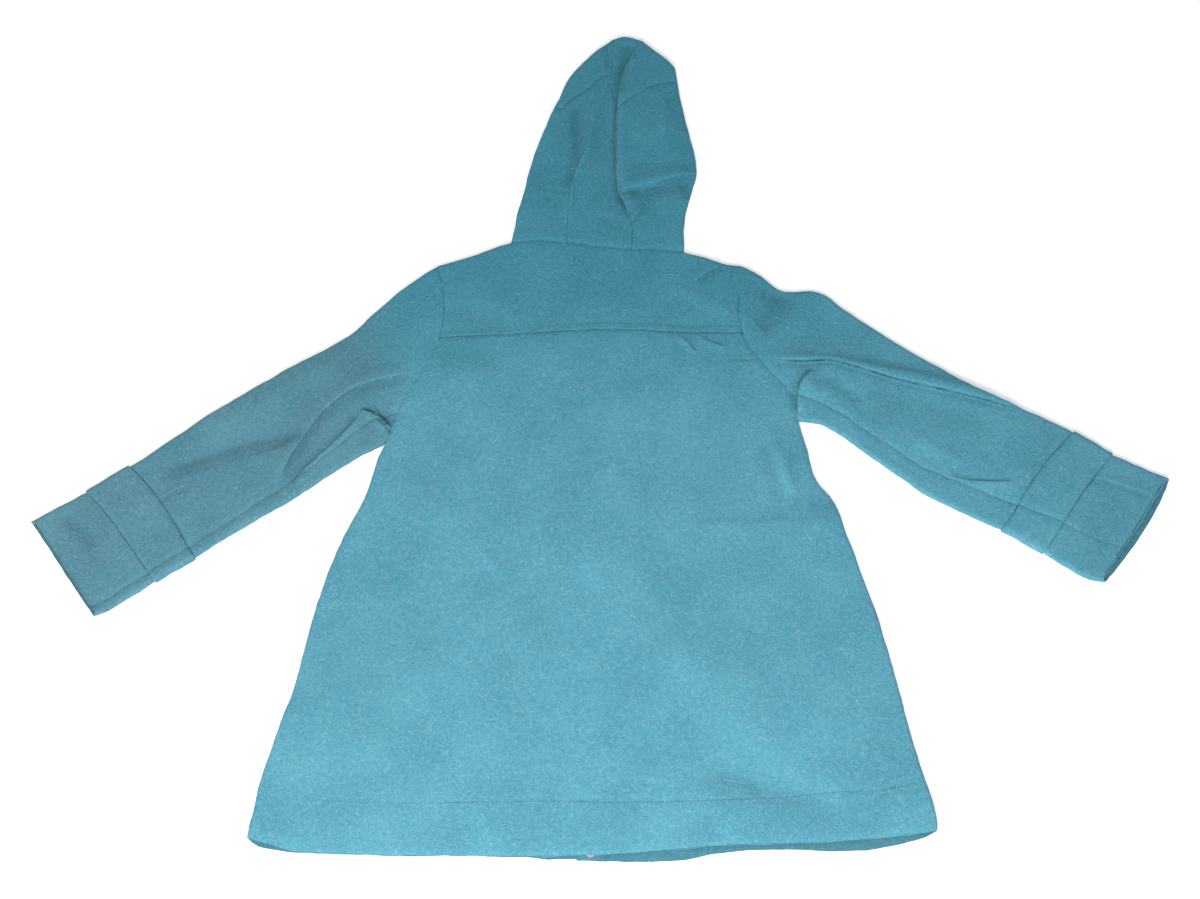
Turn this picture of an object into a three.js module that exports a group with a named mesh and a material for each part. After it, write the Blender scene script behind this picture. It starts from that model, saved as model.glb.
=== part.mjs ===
import * as THREE from 'three';

// A hooded fleece jacket laid flat, face down, back up, seen from above with the hood at +Y.
// Millimetres. The origin is the bottom centre of the garment's bounding box: X runs from the
// left cuff to the right cuff, Y from the hem to the hood, Z up from the surface it lies on.

// Driving dimensions
const clothThickness = 3;
const seamGap = 0.3;
const layerGap = 0.3;
const airBetweenLayers = 3.6;
const restingHeight = 2 * clothThickness + airBetweenLayers;
const edgeRadius = restingHeight / 2;
const lapWidth = 28;
const lapRamp = 12;
const lapCrown = 2.4;
const lapCrownReach = 75;
const lapStackReach = 48;
const strapThickness = 2;
const studDiameter = 14;
const studThickness = 1.5;
const studSpacing = 122;
const studHemInset = 10;
const studCount = 6;
const studSides = 12;
const studTopShare = 0.8;
const cuffPeek = 4;
const cuffBow = {
  left: { back: 0, front: 0 },
  right: { back: 2, front: 6 },
};
const cuffBowReach = 0.12;
const leastSquareness = 0.5;
const lapNeckFade = { low: 20, high: 10 };
const lapPower = { crown: 4, stack: 6 };
const foldSamples = 24;
const foldFade = { start: 0.08, power: 0.6 };
const strapRampShare = 3;
const overlapMargin = 1;
const middleShift = 2.9;

const colours = {
  cloth: '#56a0b6',
  shadedCloth: '#44849b',
  metal: '#b9bfc4',
};

// Plan outlines of the garment, one row for each point where the line bends

const armhole = {
  left: [
    { x: -208, y: 179 }, { x: -200, y: 148 }, { x: -196, y: 115 }, { x: -200, y: 76 },
    { x: -215, y: 38 }, { x: -232, y: 4 }, { x: -245, y: -24 }, { x: -256, y: -64 },
  ],
  right: [
    { x: 173, y: 178 }, { x: 167, y: 145 }, { x: 165, y: 112 }, { x: 169, y: 84 },
    { x: 187, y: 46 }, { x: 212, y: 14 }, { x: 224, y: -4 }, { x: 229, y: -35 },
  ],
};

const side = {
  left: [
    { x: -256, y: -64 }, { x: -265, y: -88 }, { x: -275, y: -127 }, { x: -301, y: -189 },
    { x: -322, y: -261 }, { x: -339, y: -354 }, { x: -360, y: -432 }, { x: -373, y: -500 },
    { x: -375, y: -524 },
  ],
  right: [
    { x: 229, y: -35 }, { x: 238, y: -73 }, { x: 246, y: -112 }, { x: 265, y: -139 },
    { x: 280, y: -189 }, { x: 300, y: -260 }, { x: 320, y: -353 }, { x: 337, y: -442 },
    { x: 350, y: -500 }, { x: 350, y: -516 },
  ],
};

const sleeveTop = {
  left: [
    { x: -208, y: 179 }, { x: -252, y: 142 }, { x: -316, y: 76 }, { x: -385, y: 31 },
    { x: -475, y: -32 }, { x: -555, y: -96 }, { x: -600, y: -128 }, { x: -631, y: -148 },
    { x: -659, y: -165 },
  ],
  right: [
    { x: 173, y: 178 }, { x: 194, y: 164 }, { x: 221, y: 142 }, { x: 262, y: 141 },
    { x: 303, y: 109 }, { x: 361, y: 65 }, { x: 446, y: 8 }, { x: 554, y: -52 },
    { x: 596, y: -80 }, { x: 659, y: -112 },
  ],
};

const sleeveBottom = {
  left: [
    { x: -256, y: -64 }, { x: -304, y: -94 }, { x: -370, y: -143 }, { x: -429, y: -181 },
    { x: -466, y: -208 }, { x: -508, y: -237 }, { x: -554, y: -271 }, { x: -572, y: -279 },
  ],
  right: [
    { x: 229, y: -35 }, { x: 262, y: -43 }, { x: 318, y: -87 }, { x: 372, y: -130 },
    { x: 455, y: -175 }, { x: 500, y: -203 }, { x: 544, y: -234 }, { x: 565, y: -239 },
  ],
};

const yokeSeam = [
  { x: -200, y: 76 }, { x: -109, y: 81 }, { x: 18, y: 86 }, { x: 110, y: 83 }, { x: 169, y: 84 },
];
const shoulder = {
  left: [{ x: -208, y: 179 }, { x: -173, y: 190 }, { x: -130, y: 207 }, { x: -117, y: 212 }],
  right: [{ x: 100, y: 199 }, { x: 128, y: 190 }, { x: 151, y: 181 }, { x: 173, y: 178 }],
};
const backNeck = [
  { x: -117, y: 212 }, { x: -83, y: 215 }, { x: -47, y: 212 }, { x: 0, y: 206 },
  { x: 35, y: 203 }, { x: 100, y: 199 },
];
const frontNeck = {
  left: [{ x: -117, y: 212 }, { x: -98, y: 188 }, { x: -62, y: 152 }, { x: 5, y: 132 }],
  right: [{ x: -23, y: 132 }, { x: 46, y: 144 }, { x: 80, y: 172 }, { x: 100, y: 199 }],
};
const frontEdge = {
  left: [{ x: 5, y: 132 }, { x: -1, y: -546 }],
  right: [{ x: -23, y: 132 }, { x: -29, y: -546 }],
};
const backHem = [
  { x: -375, y: -524 }, { x: -320, y: -537 }, { x: -162, y: -542 }, { x: 0, y: -541 },
  { x: 130, y: -531 }, { x: 248, y: -527 }, { x: 325, y: -519 }, { x: 350, y: -516 },
];

const hoodEdge = {
  left: [
    { x: -117, y: 212 }, { x: -108, y: 265 }, { x: -94, y: 331 }, { x: -78, y: 386 },
    { x: -66, y: 422 },
  ],
  right: [
    { x: 100, y: 199 }, { x: 103, y: 250 }, { x: 110, y: 283 }, { x: 120, y: 320 },
    { x: 113, y: 368 }, { x: 103, y: 420 }, { x: 98, y: 463 },
  ],
};
const hoodSeam = {
  left: [
    { x: -47, y: 212 }, { x: -44, y: 268 }, { x: -38, y: 310 }, { x: -24, y: 350 }, { x: -17, y: 392 },
    { x: -12, y: 420 }, { x: -2, y: 448 }, { x: 4, y: 474 },
  ],
  right: [
    { x: 35, y: 203 }, { x: 34, y: 243 }, { x: 23, y: 275 }, { x: 17, y: 300 }, { x: 16, y: 352 }, { x: 17, y: 418 },
  ],
};
const hoodFrontSeam = {
  left: [{ x: -55, y: 419 }, { x: -42, y: 434 }, { x: -24, y: 449 }, { x: -10, y: 463 }, { x: 4, y: 474 }],
  middle: [{ x: 4, y: 474 }, { x: 11, y: 446 }, { x: 17, y: 418 }],
  right: [{ x: 17, y: 418 }, { x: 40, y: 440 }, { x: 64, y: 457 }, { x: 98, y: 463 }],
};
const hoodTop = {
  left: [{ x: -66, y: 422 }, { x: -45, y: 472 }, { x: -15, y: 511 }, { x: 10, y: 534 }],
  middle: [{ x: 10, y: 534 }, { x: 30, y: 541 }, { x: 51, y: 533 }],
  right: [{ x: 51, y: 533 }, { x: 71, y: 515 }, { x: 85, y: 501 }, { x: 95, y: 488 }],
};
const hoodOpening = {
  left: [{ x: -14, y: 134 }, { x: -28, y: 230 }, { x: -42, y: 330 }, { x: -47, y: 402 }],
  right: [{ x: -6, y: 134 }, { x: 30, y: 230 }, { x: 50, y: 330 }, { x: 62, y: 440 }],
};

// Where the sleeve straps cross the two outlines, and where the sleeve seams run, as shares
// of the sleeve's width from its upper outline
const strapEdges = {
  left: {
    upper: [{ x: -555, y: -96 }, { x: -600, y: -128 }],
    lower: [{ x: -466, y: -208 }, { x: -508, y: -237 }],
  },
  right: {
    upper: [{ x: 554, y: -52 }, { x: 596, y: -80 }],
    lower: [{ x: 455, y: -175 }, { x: 500, y: -203 }],
  },
};
const sleeveSeams = {
  left: [
    { along: 0, back: 0.845, front: 0.8 }, { along: 0.1, back: 0.79, front: 0.8 },
    { along: 0.3, back: 0.86, front: 0.8 }, { along: 0.6, back: 0.905, front: 0.8 },
    { along: 1, back: 0.92, front: 0.78 },
  ],
  right: [
    { along: 0, back: 0.85, front: 0.8 }, { along: 0.2, back: 0.86, front: 0.8 },
    { along: 0.45, back: 0.83, front: 0.8 }, { along: 0.7, back: 0.77, front: 0.78 },
    { along: 1, back: 0.67, front: 0.75 },
  ],
};

// Folds in the upper layer. Each runs from, via, to. Its rise fades over the reach to the
// left and to the right of that way.
const folds = [
  { name: 'right sleeve tuck', from: [186, 44], via: [310, 33], to: [500, -18], rise: 5, left: 9, right: 30 },
  { name: 'right sleeve cap', from: [230, 138], via: [208, 118], to: [190, 90], rise: -3, left: 14, right: 14 },
  { name: 'right underarm pinch', from: [236, 20], via: [248, 8], to: [262, 4], rise: 4, left: 10, right: 14 },
  { name: 'right sleeve swell', from: [300, -25], via: [400, -75], to: [470, -110], rise: 2.5, left: 40, right: 25 },
  { name: 'left sleeve fold', from: [-236, 36], via: [-318, -6], to: [-374, -104], rise: 4, left: 18, right: 26 },
  { name: 'left sleeve hollow', from: [-340, -40], via: [-440, -78], to: [-556, -130], rise: -2.6, left: 26, right: 26 },
  { name: 'left sleeve swell', from: [-300, 60], via: [-400, -20], to: [-520, -95], rise: 2.5, left: 30, right: 30 },
  { name: 'left underarm', from: [-250, -30], via: [-268, -28], to: [-292, -30], rise: -2.4, left: 10, right: 12 },
  { name: 'right side fold', from: [200, -60], via: [208, -95], to: [218, -140], rise: 3, left: 12, right: 20 },
  { name: 'right side bulge', from: [222, -158], via: [250, -160], to: [284, -166], rise: 4, left: 14, right: 30 },
  { name: 'back sweep', from: [30, -205], via: [120, -355], to: [300, -490], rise: 2.5, left: 60, right: 60 },
  { name: 'left back swell', from: [-150, 40], via: [-190, -150], to: [-260, -400], rise: 1.8, left: 55, right: 70 },
  { name: 'left hem lift', from: [-300, -540], via: [-345, -530], to: [-385, -500], rise: 3, left: 30, right: 40 },
  { name: 'hood seam ridge', from: [6, 520], via: [-17, 390], to: [-47, 262], rise: 3.5, left: 9, right: 9 },
  { name: 'hood tuck', from: [42, 528], via: [12, 400], to: [34, 246], rise: -4, left: 6, right: 24 },
  { name: 'hood left swell', from: [-50, 430], via: [-66, 350], to: [-80, 260], rise: 3, left: 24, right: 24 },
  { name: 'hood right swell', from: [60, 440], via: [74, 370], to: [76, 320], rise: 4.5, left: 30, right: 26 },
  { name: 'hood cross crease', from: [26, 290], via: [58, 292], to: [96, 302], rise: -3, left: 9, right: 12 },
  { name: 'nape pinch', from: [34, 249], via: [44, 256], to: [54, 268], rise: 2.5, left: 8, right: 9 },
];

// Curves and grids in plan

function curveThrough(rows) {
  const points = rows.map(({ x, y }) => new THREE.Vector3(x, y, 0));
  return new THREE.CatmullRomCurve3(points, false, 'centripetal');
}

function nodesAlong(rows, count, from = 0, to = 1) {
  const curve = curveThrough(rows);
  return Array.from({ length: count + 1 }, (_, k) => curve.getPointAt(from + (to - from) * (k / count)));
}

function nodesAt(rows, shares) {
  const curve = curveThrough(rows);
  return shares.map((share) => curve.getPointAt(share));
}

const nearestSteps = 500;

function shareNearest(rows, point) {
  const curve = curveThrough(rows);
  let best = { share: 0, distance: Infinity };
  for (let k = 0; k <= nearestSteps; k += 1) {
    const place = curve.getPointAt(k / nearestSteps);
    const distance = Math.hypot(place.x - point.x, place.y - point.y);
    if (distance < best.distance) best = { share: k / nearestSteps, distance };
  }
  return best.share;
}

function evenShares(count, from = 0, to = 1) {
  return Array.from({ length: count + 1 }, (_, k) => from + (to - from) * (k / count));
}

// Joins runs of nodes end to end, with the shared node kept once.
function chain(...runs) {
  return runs.reduce((all, run) => all.concat(run.slice(1)));
}

// A grid between four lines of nodes: rows run from first to last along the columns' lines.
function patchBetween({ first, last, start, end }) {
  const rows = start.length - 1;
  const columns = first.length - 1;
  return start.map((_, i) => first.map((__, j) => {
    const v = i / rows;
    const u = j / columns;
    const across = first[j].clone().multiplyScalar(1 - v).addScaledVector(last[j], v);
    const along = start[i].clone().multiplyScalar(1 - u).addScaledVector(end[i], u);
    const corners = first[0].clone().multiplyScalar((1 - u) * (1 - v))
      .addScaledVector(first[columns], u * (1 - v))
      .addScaledVector(last[0], (1 - u) * v)
      .addScaledVector(last[columns], u * v);
    return across.add(along).sub(corners);
  }));
}

// The upper layer's height and the lower layer's lift

function foldHeight(fold, x, y) {
  const [x0, y0] = fold.from;
  const [x2, y2] = fold.to;
  const x1 = 2 * fold.via[0] - (x0 + x2) / 2;
  const y1 = 2 * fold.via[1] - (y0 + y2) / 2;
  let nearest = { distance: Infinity };
  for (let k = 0; k <= foldSamples; k += 1) {
    const t = k / foldSamples;
    const px = (1 - t) ** 2 * x0 + 2 * t * (1 - t) * x1 + t * t * x2;
    const py = (1 - t) ** 2 * y0 + 2 * t * (1 - t) * y1 + t * t * y2;
    const distance = Math.hypot(x - px, y - py);
    if (distance < nearest.distance) {
      const dx = 2 * (1 - t) * (x1 - x0) + 2 * t * (x2 - x1);
      const dy = 2 * (1 - t) * (y1 - y0) + 2 * t * (y2 - y1);
      nearest = { distance, t, onLeft: dx * (y - py) - dy * (x - px) > 0 };
    }
  }
  const reach = nearest.onLeft ? fold.left : fold.right;
  const along = THREE.MathUtils.clamp(nearest.t, foldFade.start, 1 - foldFade.start);
  const fade = Math.sin(Math.PI * along) ** foldFade.power;
  return fold.rise * fade * Math.exp(-((nearest.distance / reach) ** 2));
}

function centreFront(y) {
  const [top, bottom] = frontEdge.left;
  const share = (top.y - y) / (top.y - bottom.y);
  return top.x + (bottom.x - top.x) * share - lapWidth / 2;
}

// How far a point lies inside the front lap's reach, from 1 on its middle line to 0.
function lapShare(x, y, reach, power) {
  const [corner, , , front] = frontNeck.left;
  const belowNeck = 1 - THREE.MathUtils.smoothstep(y, front.y - lapNeckFade.low, corner.y - lapNeckFade.high);
  return belowNeck * Math.exp(-(Math.abs((x - centreFront(y)) / reach) ** power));
}

function upperHeight(x, y) {
  const reliefs = folds.reduce((sum, fold) => sum + foldHeight(fold, x, y), 0);
  const lying = restingHeight + lapCrown * lapShare(x, y, lapCrownReach, lapPower.crown) + reliefs;
  const lapStack = clothThickness + layerGap + studThickness + layerGap;
  const beneath = clothThickness + layerGap + lapStack * lapShare(x, y, lapStackReach, lapPower.stack);
  return Math.max(lying, beneath + clothThickness);
}

// Rows and columns of a wall. A stop is a node, a node set back from a seam, or one of the
// places round an edge where the cloth turns under.

const turnAngles = [0, 42, 90].map(THREE.MathUtils.degToRad);

function turnStops(node, towards) {
  return turnAngles.map((angle) => ({ node, towards, angle }));
}

function nodeStops(first, last, { start = 'seam', end = 'seam' } = {}) {
  const stops = [];
  for (let node = first; node <= last; node += 1) {
    const kind = (node === first && start) || (node === last && end) || 'free';
    const towards = node === first ? 1 : -1;
    if (kind === 'turn') stops.push(...(towards > 0 ? turnStops(node, 1) : turnStops(node, -1).reverse()));
    else if (kind === 'seam') stops.push({ node, towards, setBack: seamGap / 2 });
    else if (kind === 'open') stops.push({ node, towards, setBack: 0, open: true });
    else stops.push({ node });
  }
  return stops;
}

function setBackOf(stop, turning, offset) {
  if (stop.angle === undefined) return stop.setBack ?? 0;
  const outside = edgeRadius * (1 - Math.cos(stop.angle));
  const turned = edgeRadius - (edgeRadius + offset) * Math.cos(stop.angle);
  return turning * turned + (1 - turning) * Math.max(outside, seamGap / 2);
}

function roundingOf(stop, turning) {
  return stop.angle === undefined ? 1 : 1 - turning * (1 - Math.sin(stop.angle));
}

// The step that moves a boundary node inwards by a distance square to its boundary.
function squareStep(inwards, boundary, distance) {
  const step = inwards.clone().normalize();
  const along = boundary.clone().normalize();
  const squareness = Math.abs(step.x * along.y - step.y * along.x);
  return step.multiplyScalar(distance / Math.max(squareness, leastSquareness));
}

function planPoint(patch, row, column, rowSetBack, columnSetBack) {
  const node = (i, j) => {
    const line = patch[THREE.MathUtils.clamp(i, 0, patch.length - 1)];
    return line[THREE.MathUtils.clamp(j, 0, line.length - 1)];
  };
  const [i, j] = [row.node, column.node];
  const place = node(i, j).clone();
  const alongRow = node(i, j + 1).clone().sub(node(i, j - 1));
  const alongColumn = node(i + 1, j).clone().sub(node(i - 1, j));
  if (column.towards) {
    const inwards = node(i, j + column.towards).clone().sub(node(i, j));
    place.add(squareStep(inwards, alongColumn, columnSetBack));
  }
  if (row.towards) {
    const inwards = node(i + row.towards, j).clone().sub(node(i, j));
    place.add(squareStep(inwards, alongRow, rowSetBack));
  }
  return place;
}

// One point of a layer: offset is the distance outwards from the layer's outer face.
function layerPoint(layer, row, column, offset) {
  const rowTurning = layer.rowTurning?.(row, column) ?? 1;
  const columnTurning = layer.columnTurning?.(row, column) ?? 1;
  const rowRounding = roundingOf(row, rowTurning);
  const columnRounding = roundingOf(column, columnTurning);
  const rowSetBack = row.open ? (layer.shortBy ?? 0) * columnRounding : setBackOf(row, rowTurning, offset);
  const columnSetBack = setBackOf(column, columnTurning, offset);
  const place = planPoint(layer.patch, row, column, rowSetBack, columnSetBack);
  const rounding = rowRounding * columnRounding;
  const parting = (seamGap / 2) * (1 - rowRounding * (layer.closedSides ? 1 : columnRounding));
  if (layer.under) {
    const lift = layer.lift?.(place, row, column) ?? 0;
    place.z = edgeRadius - parting - (edgeRadius + offset - lift) * rounding;
  } else {
    const rise = upperHeight(place.x, place.y) - edgeRadius + offset;
    place.z = edgeRadius + parting + rise * rounding;
  }
  return place;
}

// Closed walls

function wallGeometry(outer, inner) {
  const rows = outer.length;
  const columns = outer[0].length;
  const positions = [...outer.flat(), ...inner.flat()].flatMap((p) => [p.x, p.y, p.z]);
  const outerAt = (i, j) => i * columns + j;
  const innerAt = (i, j) => rows * columns + i * columns + j;
  const faces = [];
  const quad = (a, b, c, d) => faces.push(a, b, c, a, c, d);
  for (let i = 0; i < rows - 1; i += 1) {
    for (let j = 0; j < columns - 1; j += 1) {
      quad(outerAt(i, j), outerAt(i, j + 1), outerAt(i + 1, j + 1), outerAt(i + 1, j));
      quad(innerAt(i, j), innerAt(i + 1, j), innerAt(i + 1, j + 1), innerAt(i, j + 1));
    }
  }
  for (let j = 0; j < columns - 1; j += 1) {
    quad(outerAt(0, j), innerAt(0, j), innerAt(0, j + 1), outerAt(0, j + 1));
    quad(outerAt(rows - 1, j), outerAt(rows - 1, j + 1), innerAt(rows - 1, j + 1), innerAt(rows - 1, j));
  }
  for (let i = 0; i < rows - 1; i += 1) {
    quad(outerAt(i, 0), outerAt(i + 1, 0), innerAt(i + 1, 0), innerAt(i, 0));
    quad(outerAt(i, columns - 1), innerAt(i, columns - 1), innerAt(i + 1, columns - 1), outerAt(i + 1, columns - 1));
  }
  const geometry = new THREE.BufferGeometry();
  geometry.setAttribute('position', new THREE.Float32BufferAttribute(positions, 3));
  geometry.setIndex(faces);
  if (signedVolume(geometry) < 0) {
    for (let k = 0; k < faces.length; k += 3) [faces[k], faces[k + 1]] = [faces[k + 1], faces[k]];
    geometry.setIndex(faces);
  }
  geometry.computeVertexNormals();
  return geometry;
}

function signedVolume(geometry) {
  const position = geometry.getAttribute('position');
  const index = geometry.getIndex();
  const [a, b, c] = [new THREE.Vector3(), new THREE.Vector3(), new THREE.Vector3()];
  let volume = 0;
  for (let k = 0; k < index.count; k += 3) {
    a.fromBufferAttribute(position, index.getX(k));
    b.fromBufferAttribute(position, index.getX(k + 1));
    c.fromBufferAttribute(position, index.getX(k + 2));
    volume += a.dot(b.cross(c)) / 6;
  }
  return volume;
}

const clothFinish = { roughness: 0.95, metalness: 0 };
const metalFinish = { roughness: 0.35, metalness: 0.9 };
const garment = new THREE.Group();

function addMesh(name, geometry, colour, finish = clothFinish) {
  const material = new THREE.MeshStandardMaterial({ color: colour, ...finish });
  const mesh = new THREE.Mesh(geometry, material);
  mesh.name = name;
  garment.add(mesh);
}

// A wall over one or two layers: each strip gives a layer and the columns that it takes.
function addWall(name, rows, strips, colour, outside = 0, inside = -clothThickness) {
  const gridAt = (offset) => rows.map((row) => strips.flatMap(({ layer, columns }) => (
    columns.map((column) => layerPoint(layer, row, column, offset)))));
  addMesh(name, wallGeometry(gridAt(outside), gridAt(inside)), colour);
}

// Armhole nodes that the yoke, back, fronts and sleeves share

const yokeRows = 5;
const bladeRows = 5;
const underarmRows = 2;
const frontArmholeRows = [5, 2];

function upperShares(which) {
  const yokeEnd = yokeSeam[which === 'left' ? 0 : yokeSeam.length - 1];
  const yokeShare = shareNearest(armhole[which], yokeEnd);
  const seamShare = sleeveSeams[which][0].back;
  return chain(
    evenShares(yokeRows, 0, yokeShare),
    evenShares(bladeRows, yokeShare, seamShare),
    evenShares(underarmRows, seamShare, 1),
  );
}

function underShares(which) {
  const seamShare = sleeveSeams[which][0].front;
  return chain(
    evenShares(frontArmholeRows[0], 0, seamShare),
    evenShares(frontArmholeRows[1], seamShare, 1),
  );
}

const armholeNodes = {
  left: { upper: nodesAt(armhole.left, upperShares('left')), under: nodesAt(armhole.left, underShares('left')) },
  right: { upper: nodesAt(armhole.right, upperShares('right')), under: nodesAt(armhole.right, underShares('right')) },
};

// Neck nodes that the yoke and the hood share: two spans for each hood panel

const neckSpans = 2;
const neckShares = [0, ...['left', 'right'].map((which) => shareNearest(backNeck, hoodSeam[which][0])), 1];
const neckNodes = [0, 1, 2].map((k) => nodesAlong(backNeck, neckSpans, neckShares[k], neckShares[k + 1]));
const frontNeckSpans = 3;
const frontNeckNodes = {
  left: nodesAlong(frontNeck.left, frontNeckSpans),
  right: nodesAlong(frontNeck.right, frontNeckSpans),
};

// Body, upper layer

const shoulderColumns = 4;
const bodyColumns = 2 * shoulderColumns + 3 * neckSpans;
const sideRows = 12;

// An edge turns under at the outline only below the armhole.
function turnsBelow(armholeRows) {
  return (row) => THREE.MathUtils.clamp(row.node - armholeRows, 0, 1);
}

function addBack() {
  const armholeRows = bladeRows + underarmRows;
  const edge = (which) => chain(armholeNodes[which].upper.slice(yokeRows), nodesAlong(side[which], sideRows));
  const layer = {
    patch: patchBetween({
      first: nodesAlong(yokeSeam, bodyColumns),
      last: nodesAlong(backHem, bodyColumns),
      start: edge('left'),
      end: edge('right'),
    }),
    columnTurning: turnsBelow(armholeRows),
  };
  const rows = nodeStops(0, armholeRows + sideRows, { end: 'free' });
  const columns = nodeStops(0, bodyColumns, { start: 'turn', end: 'turn' });
  addWall('back', rows, [{ layer, columns }], colours.cloth);
}

function addYoke() {
  const neckStart = shoulderColumns;
  const neckEnd = bodyColumns - shoulderColumns;
  const layer = {
    patch: patchBetween({
      first: chain(
        nodesAlong(shoulder.left, shoulderColumns),
        ...neckNodes,
        nodesAlong(shoulder.right, shoulderColumns),
      ),
      last: nodesAlong(yokeSeam, bodyColumns),
      start: armholeNodes.left.upper.slice(0, yokeRows + 1),
      end: armholeNodes.right.upper.slice(0, yokeRows + 1),
    }),
    rowTurning: (row, { node, atNeck }) => (!atNeck && (node <= neckStart || node >= neckEnd) ? 1 : 0),
  };
  const rows = nodeStops(0, yokeRows, { start: 'turn' });
  const columns = [
    ...nodeStops(0, neckStart, { end: 'free' }),
    { node: neckStart, towards: 1, setBack: edgeRadius, atNeck: true },
    ...nodeStops(neckStart + 1, neckEnd - 1, { start: 'free', end: 'free' }),
    { node: neckEnd, towards: -1, setBack: edgeRadius, atNeck: true },
    ...nodeStops(neckEnd, bodyColumns, { start: 'free' }),
  ];
  addWall('back_yoke', rows, [{ layer, columns }], colours.shadedCloth);
}

// Body, lower layer: the two fronts, face down on the surface

const frontShoulderColumns = 2;
const frontColumns = frontShoulderColumns + frontNeckSpans;
const frontSideRows = 8;
const frontHem = {
  left: [{ x: -375, y: -524 }, { x: -362, y: -532 }, { x: -250, y: -539 }, { x: -100, y: -542 }, { x: -1, y: -546 }],
  right: [{ x: -29, y: -546 }, { x: 60, y: -547 }, { x: 147, y: -535 }, { x: 279, y: -534 }, { x: 335, y: -522 },
    { x: 350, y: -516 }],
};

function addFronts() {
  const armholeRows = frontArmholeRows[0] + frontArmholeRows[1];
  const rowCount = armholeRows + frontSideRows;
  const outline = (which) => chain(armholeNodes[which].under, nodesAlong(side[which], frontSideRows));
  const lapStep = clothThickness + layerGap;
  const rows = nodeStops(0, rowCount, { start: 'turn', end: 'free' });
  const left = {
    under: true,
    patch: patchBetween({
      first: chain(nodesAlong(shoulder.left, frontShoulderColumns), frontNeckNodes.left),
      last: nodesAlong(frontHem.left, frontColumns),
      start: outline('left'),
      end: nodesAlong(frontEdge.left, rowCount),
    }),
    rowTurning: (row, { node }) => (node <= frontShoulderColumns ? 1 : 0),
    columnTurning: turnsBelow(armholeRows),
    lift: (place, row, { overLap }) => (overLap ? lapStep : 0),
  };
  const right = {
    under: true,
    patch: patchBetween({
      first: chain(frontNeckNodes.right, nodesAlong(shoulder.right, frontShoulderColumns)),
      last: nodesAlong(frontHem.right, frontColumns),
      start: nodesAlong(frontEdge.right, rowCount),
      end: outline('right'),
    }),
    rowTurning: (row, { node }) => (node >= frontNeckSpans ? 1 : 0),
    columnTurning: turnsBelow(armholeRows),
  };
  const overLap = lapWidth + seamGap + overlapMargin;
  const leftColumns = [
    ...nodeStops(0, frontColumns - 1, { start: 'turn', end: 'free' }),
    { node: frontColumns, towards: -1, setBack: overLap + lapRamp },
    { node: frontColumns, towards: -1, setBack: overLap, overLap: true },
    { node: frontColumns, towards: -1, setBack: 0, overLap: true },
  ];
  const rightColumns = nodeStops(0, frontColumns, { start: 'free', end: 'turn' });
  addWall('front_left', rows, [{ layer: left, columns: leftColumns }], colours.shadedCloth);
  addWall('front_right', rows, [{ layer: right, columns: rightColumns }], colours.shadedCloth);
}

// Sleeves: two pieces each, with seams on the upper and the lower layer

const sleeveRows = 11;
const strapRows = 2;
const cuffRows = 2;
const strapRise = strapThickness + seamGap;
const strapRamp = strapRampShare * strapRise;

function seamShareAt(which, along, seam) {
  const table = sleeveSeams[which];
  const next = Math.max(1, table.findIndex((row) => row.along >= along));
  const [from, to] = [table[next - 1], table[next]];
  return THREE.MathUtils.mapLinear(along, from.along, to.along, from[seam], to[seam]);
}

function outlineNodes(rows, [strapStart, strapEnd]) {
  const shares = [strapStart, strapEnd].map((point) => shareNearest(rows, point));
  return chain(
    nodesAlong(rows, sleeveRows, 0, shares[0]),
    nodesAlong(rows, strapRows, shares[0], shares[1]),
    nodesAlong(rows, cuffRows, shares[1], 1),
  );
}

// A sleeve layer's grid. Its columns keep their places at the armhole, and spread so that
// the seam's column follows the seam. The cuff's edge bows out in the middle.
function sleevePatch(which, seam, shares, seamColumn) {
  const start = outlineNodes(sleeveTop[which], strapEdges[which].upper);
  const end = outlineNodes(sleeveBottom[which], strapEdges[which].lower);
  const rows = start.length - 1;
  const head = curveThrough(armhole[which]);
  const outwards = start[rows].clone().sub(start[rows - 1]).normalize();
  const seamAtHead = shares[seamColumn];
  return start.map((_, i) => {
    const v = i / rows;
    const seamHere = seamShareAt(which, v, seam);
    return shares.map((share, j) => {
      const u = j <= seamColumn
        ? share * (seamHere / seamAtHead)
        : 1 - (1 - share) * ((1 - seamHere) / (1 - seamAtHead));
      const bow = head.getPointAt(u).sub(start[0].clone().lerp(end[0], u)).multiplyScalar(1 - v);
      const nearCuff = Math.max(0, (v - 1) / cuffBowReach + 1) ** 2;
      const middleShare = 4 * u * (1 - u);
      const cuffBulge = outwards.clone().multiplyScalar(middleShare * nearCuff * cuffBow[which][seam]);
      return start[i].clone().lerp(end[i], u).add(bow).add(cuffBulge);
    });
  });
}

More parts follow.
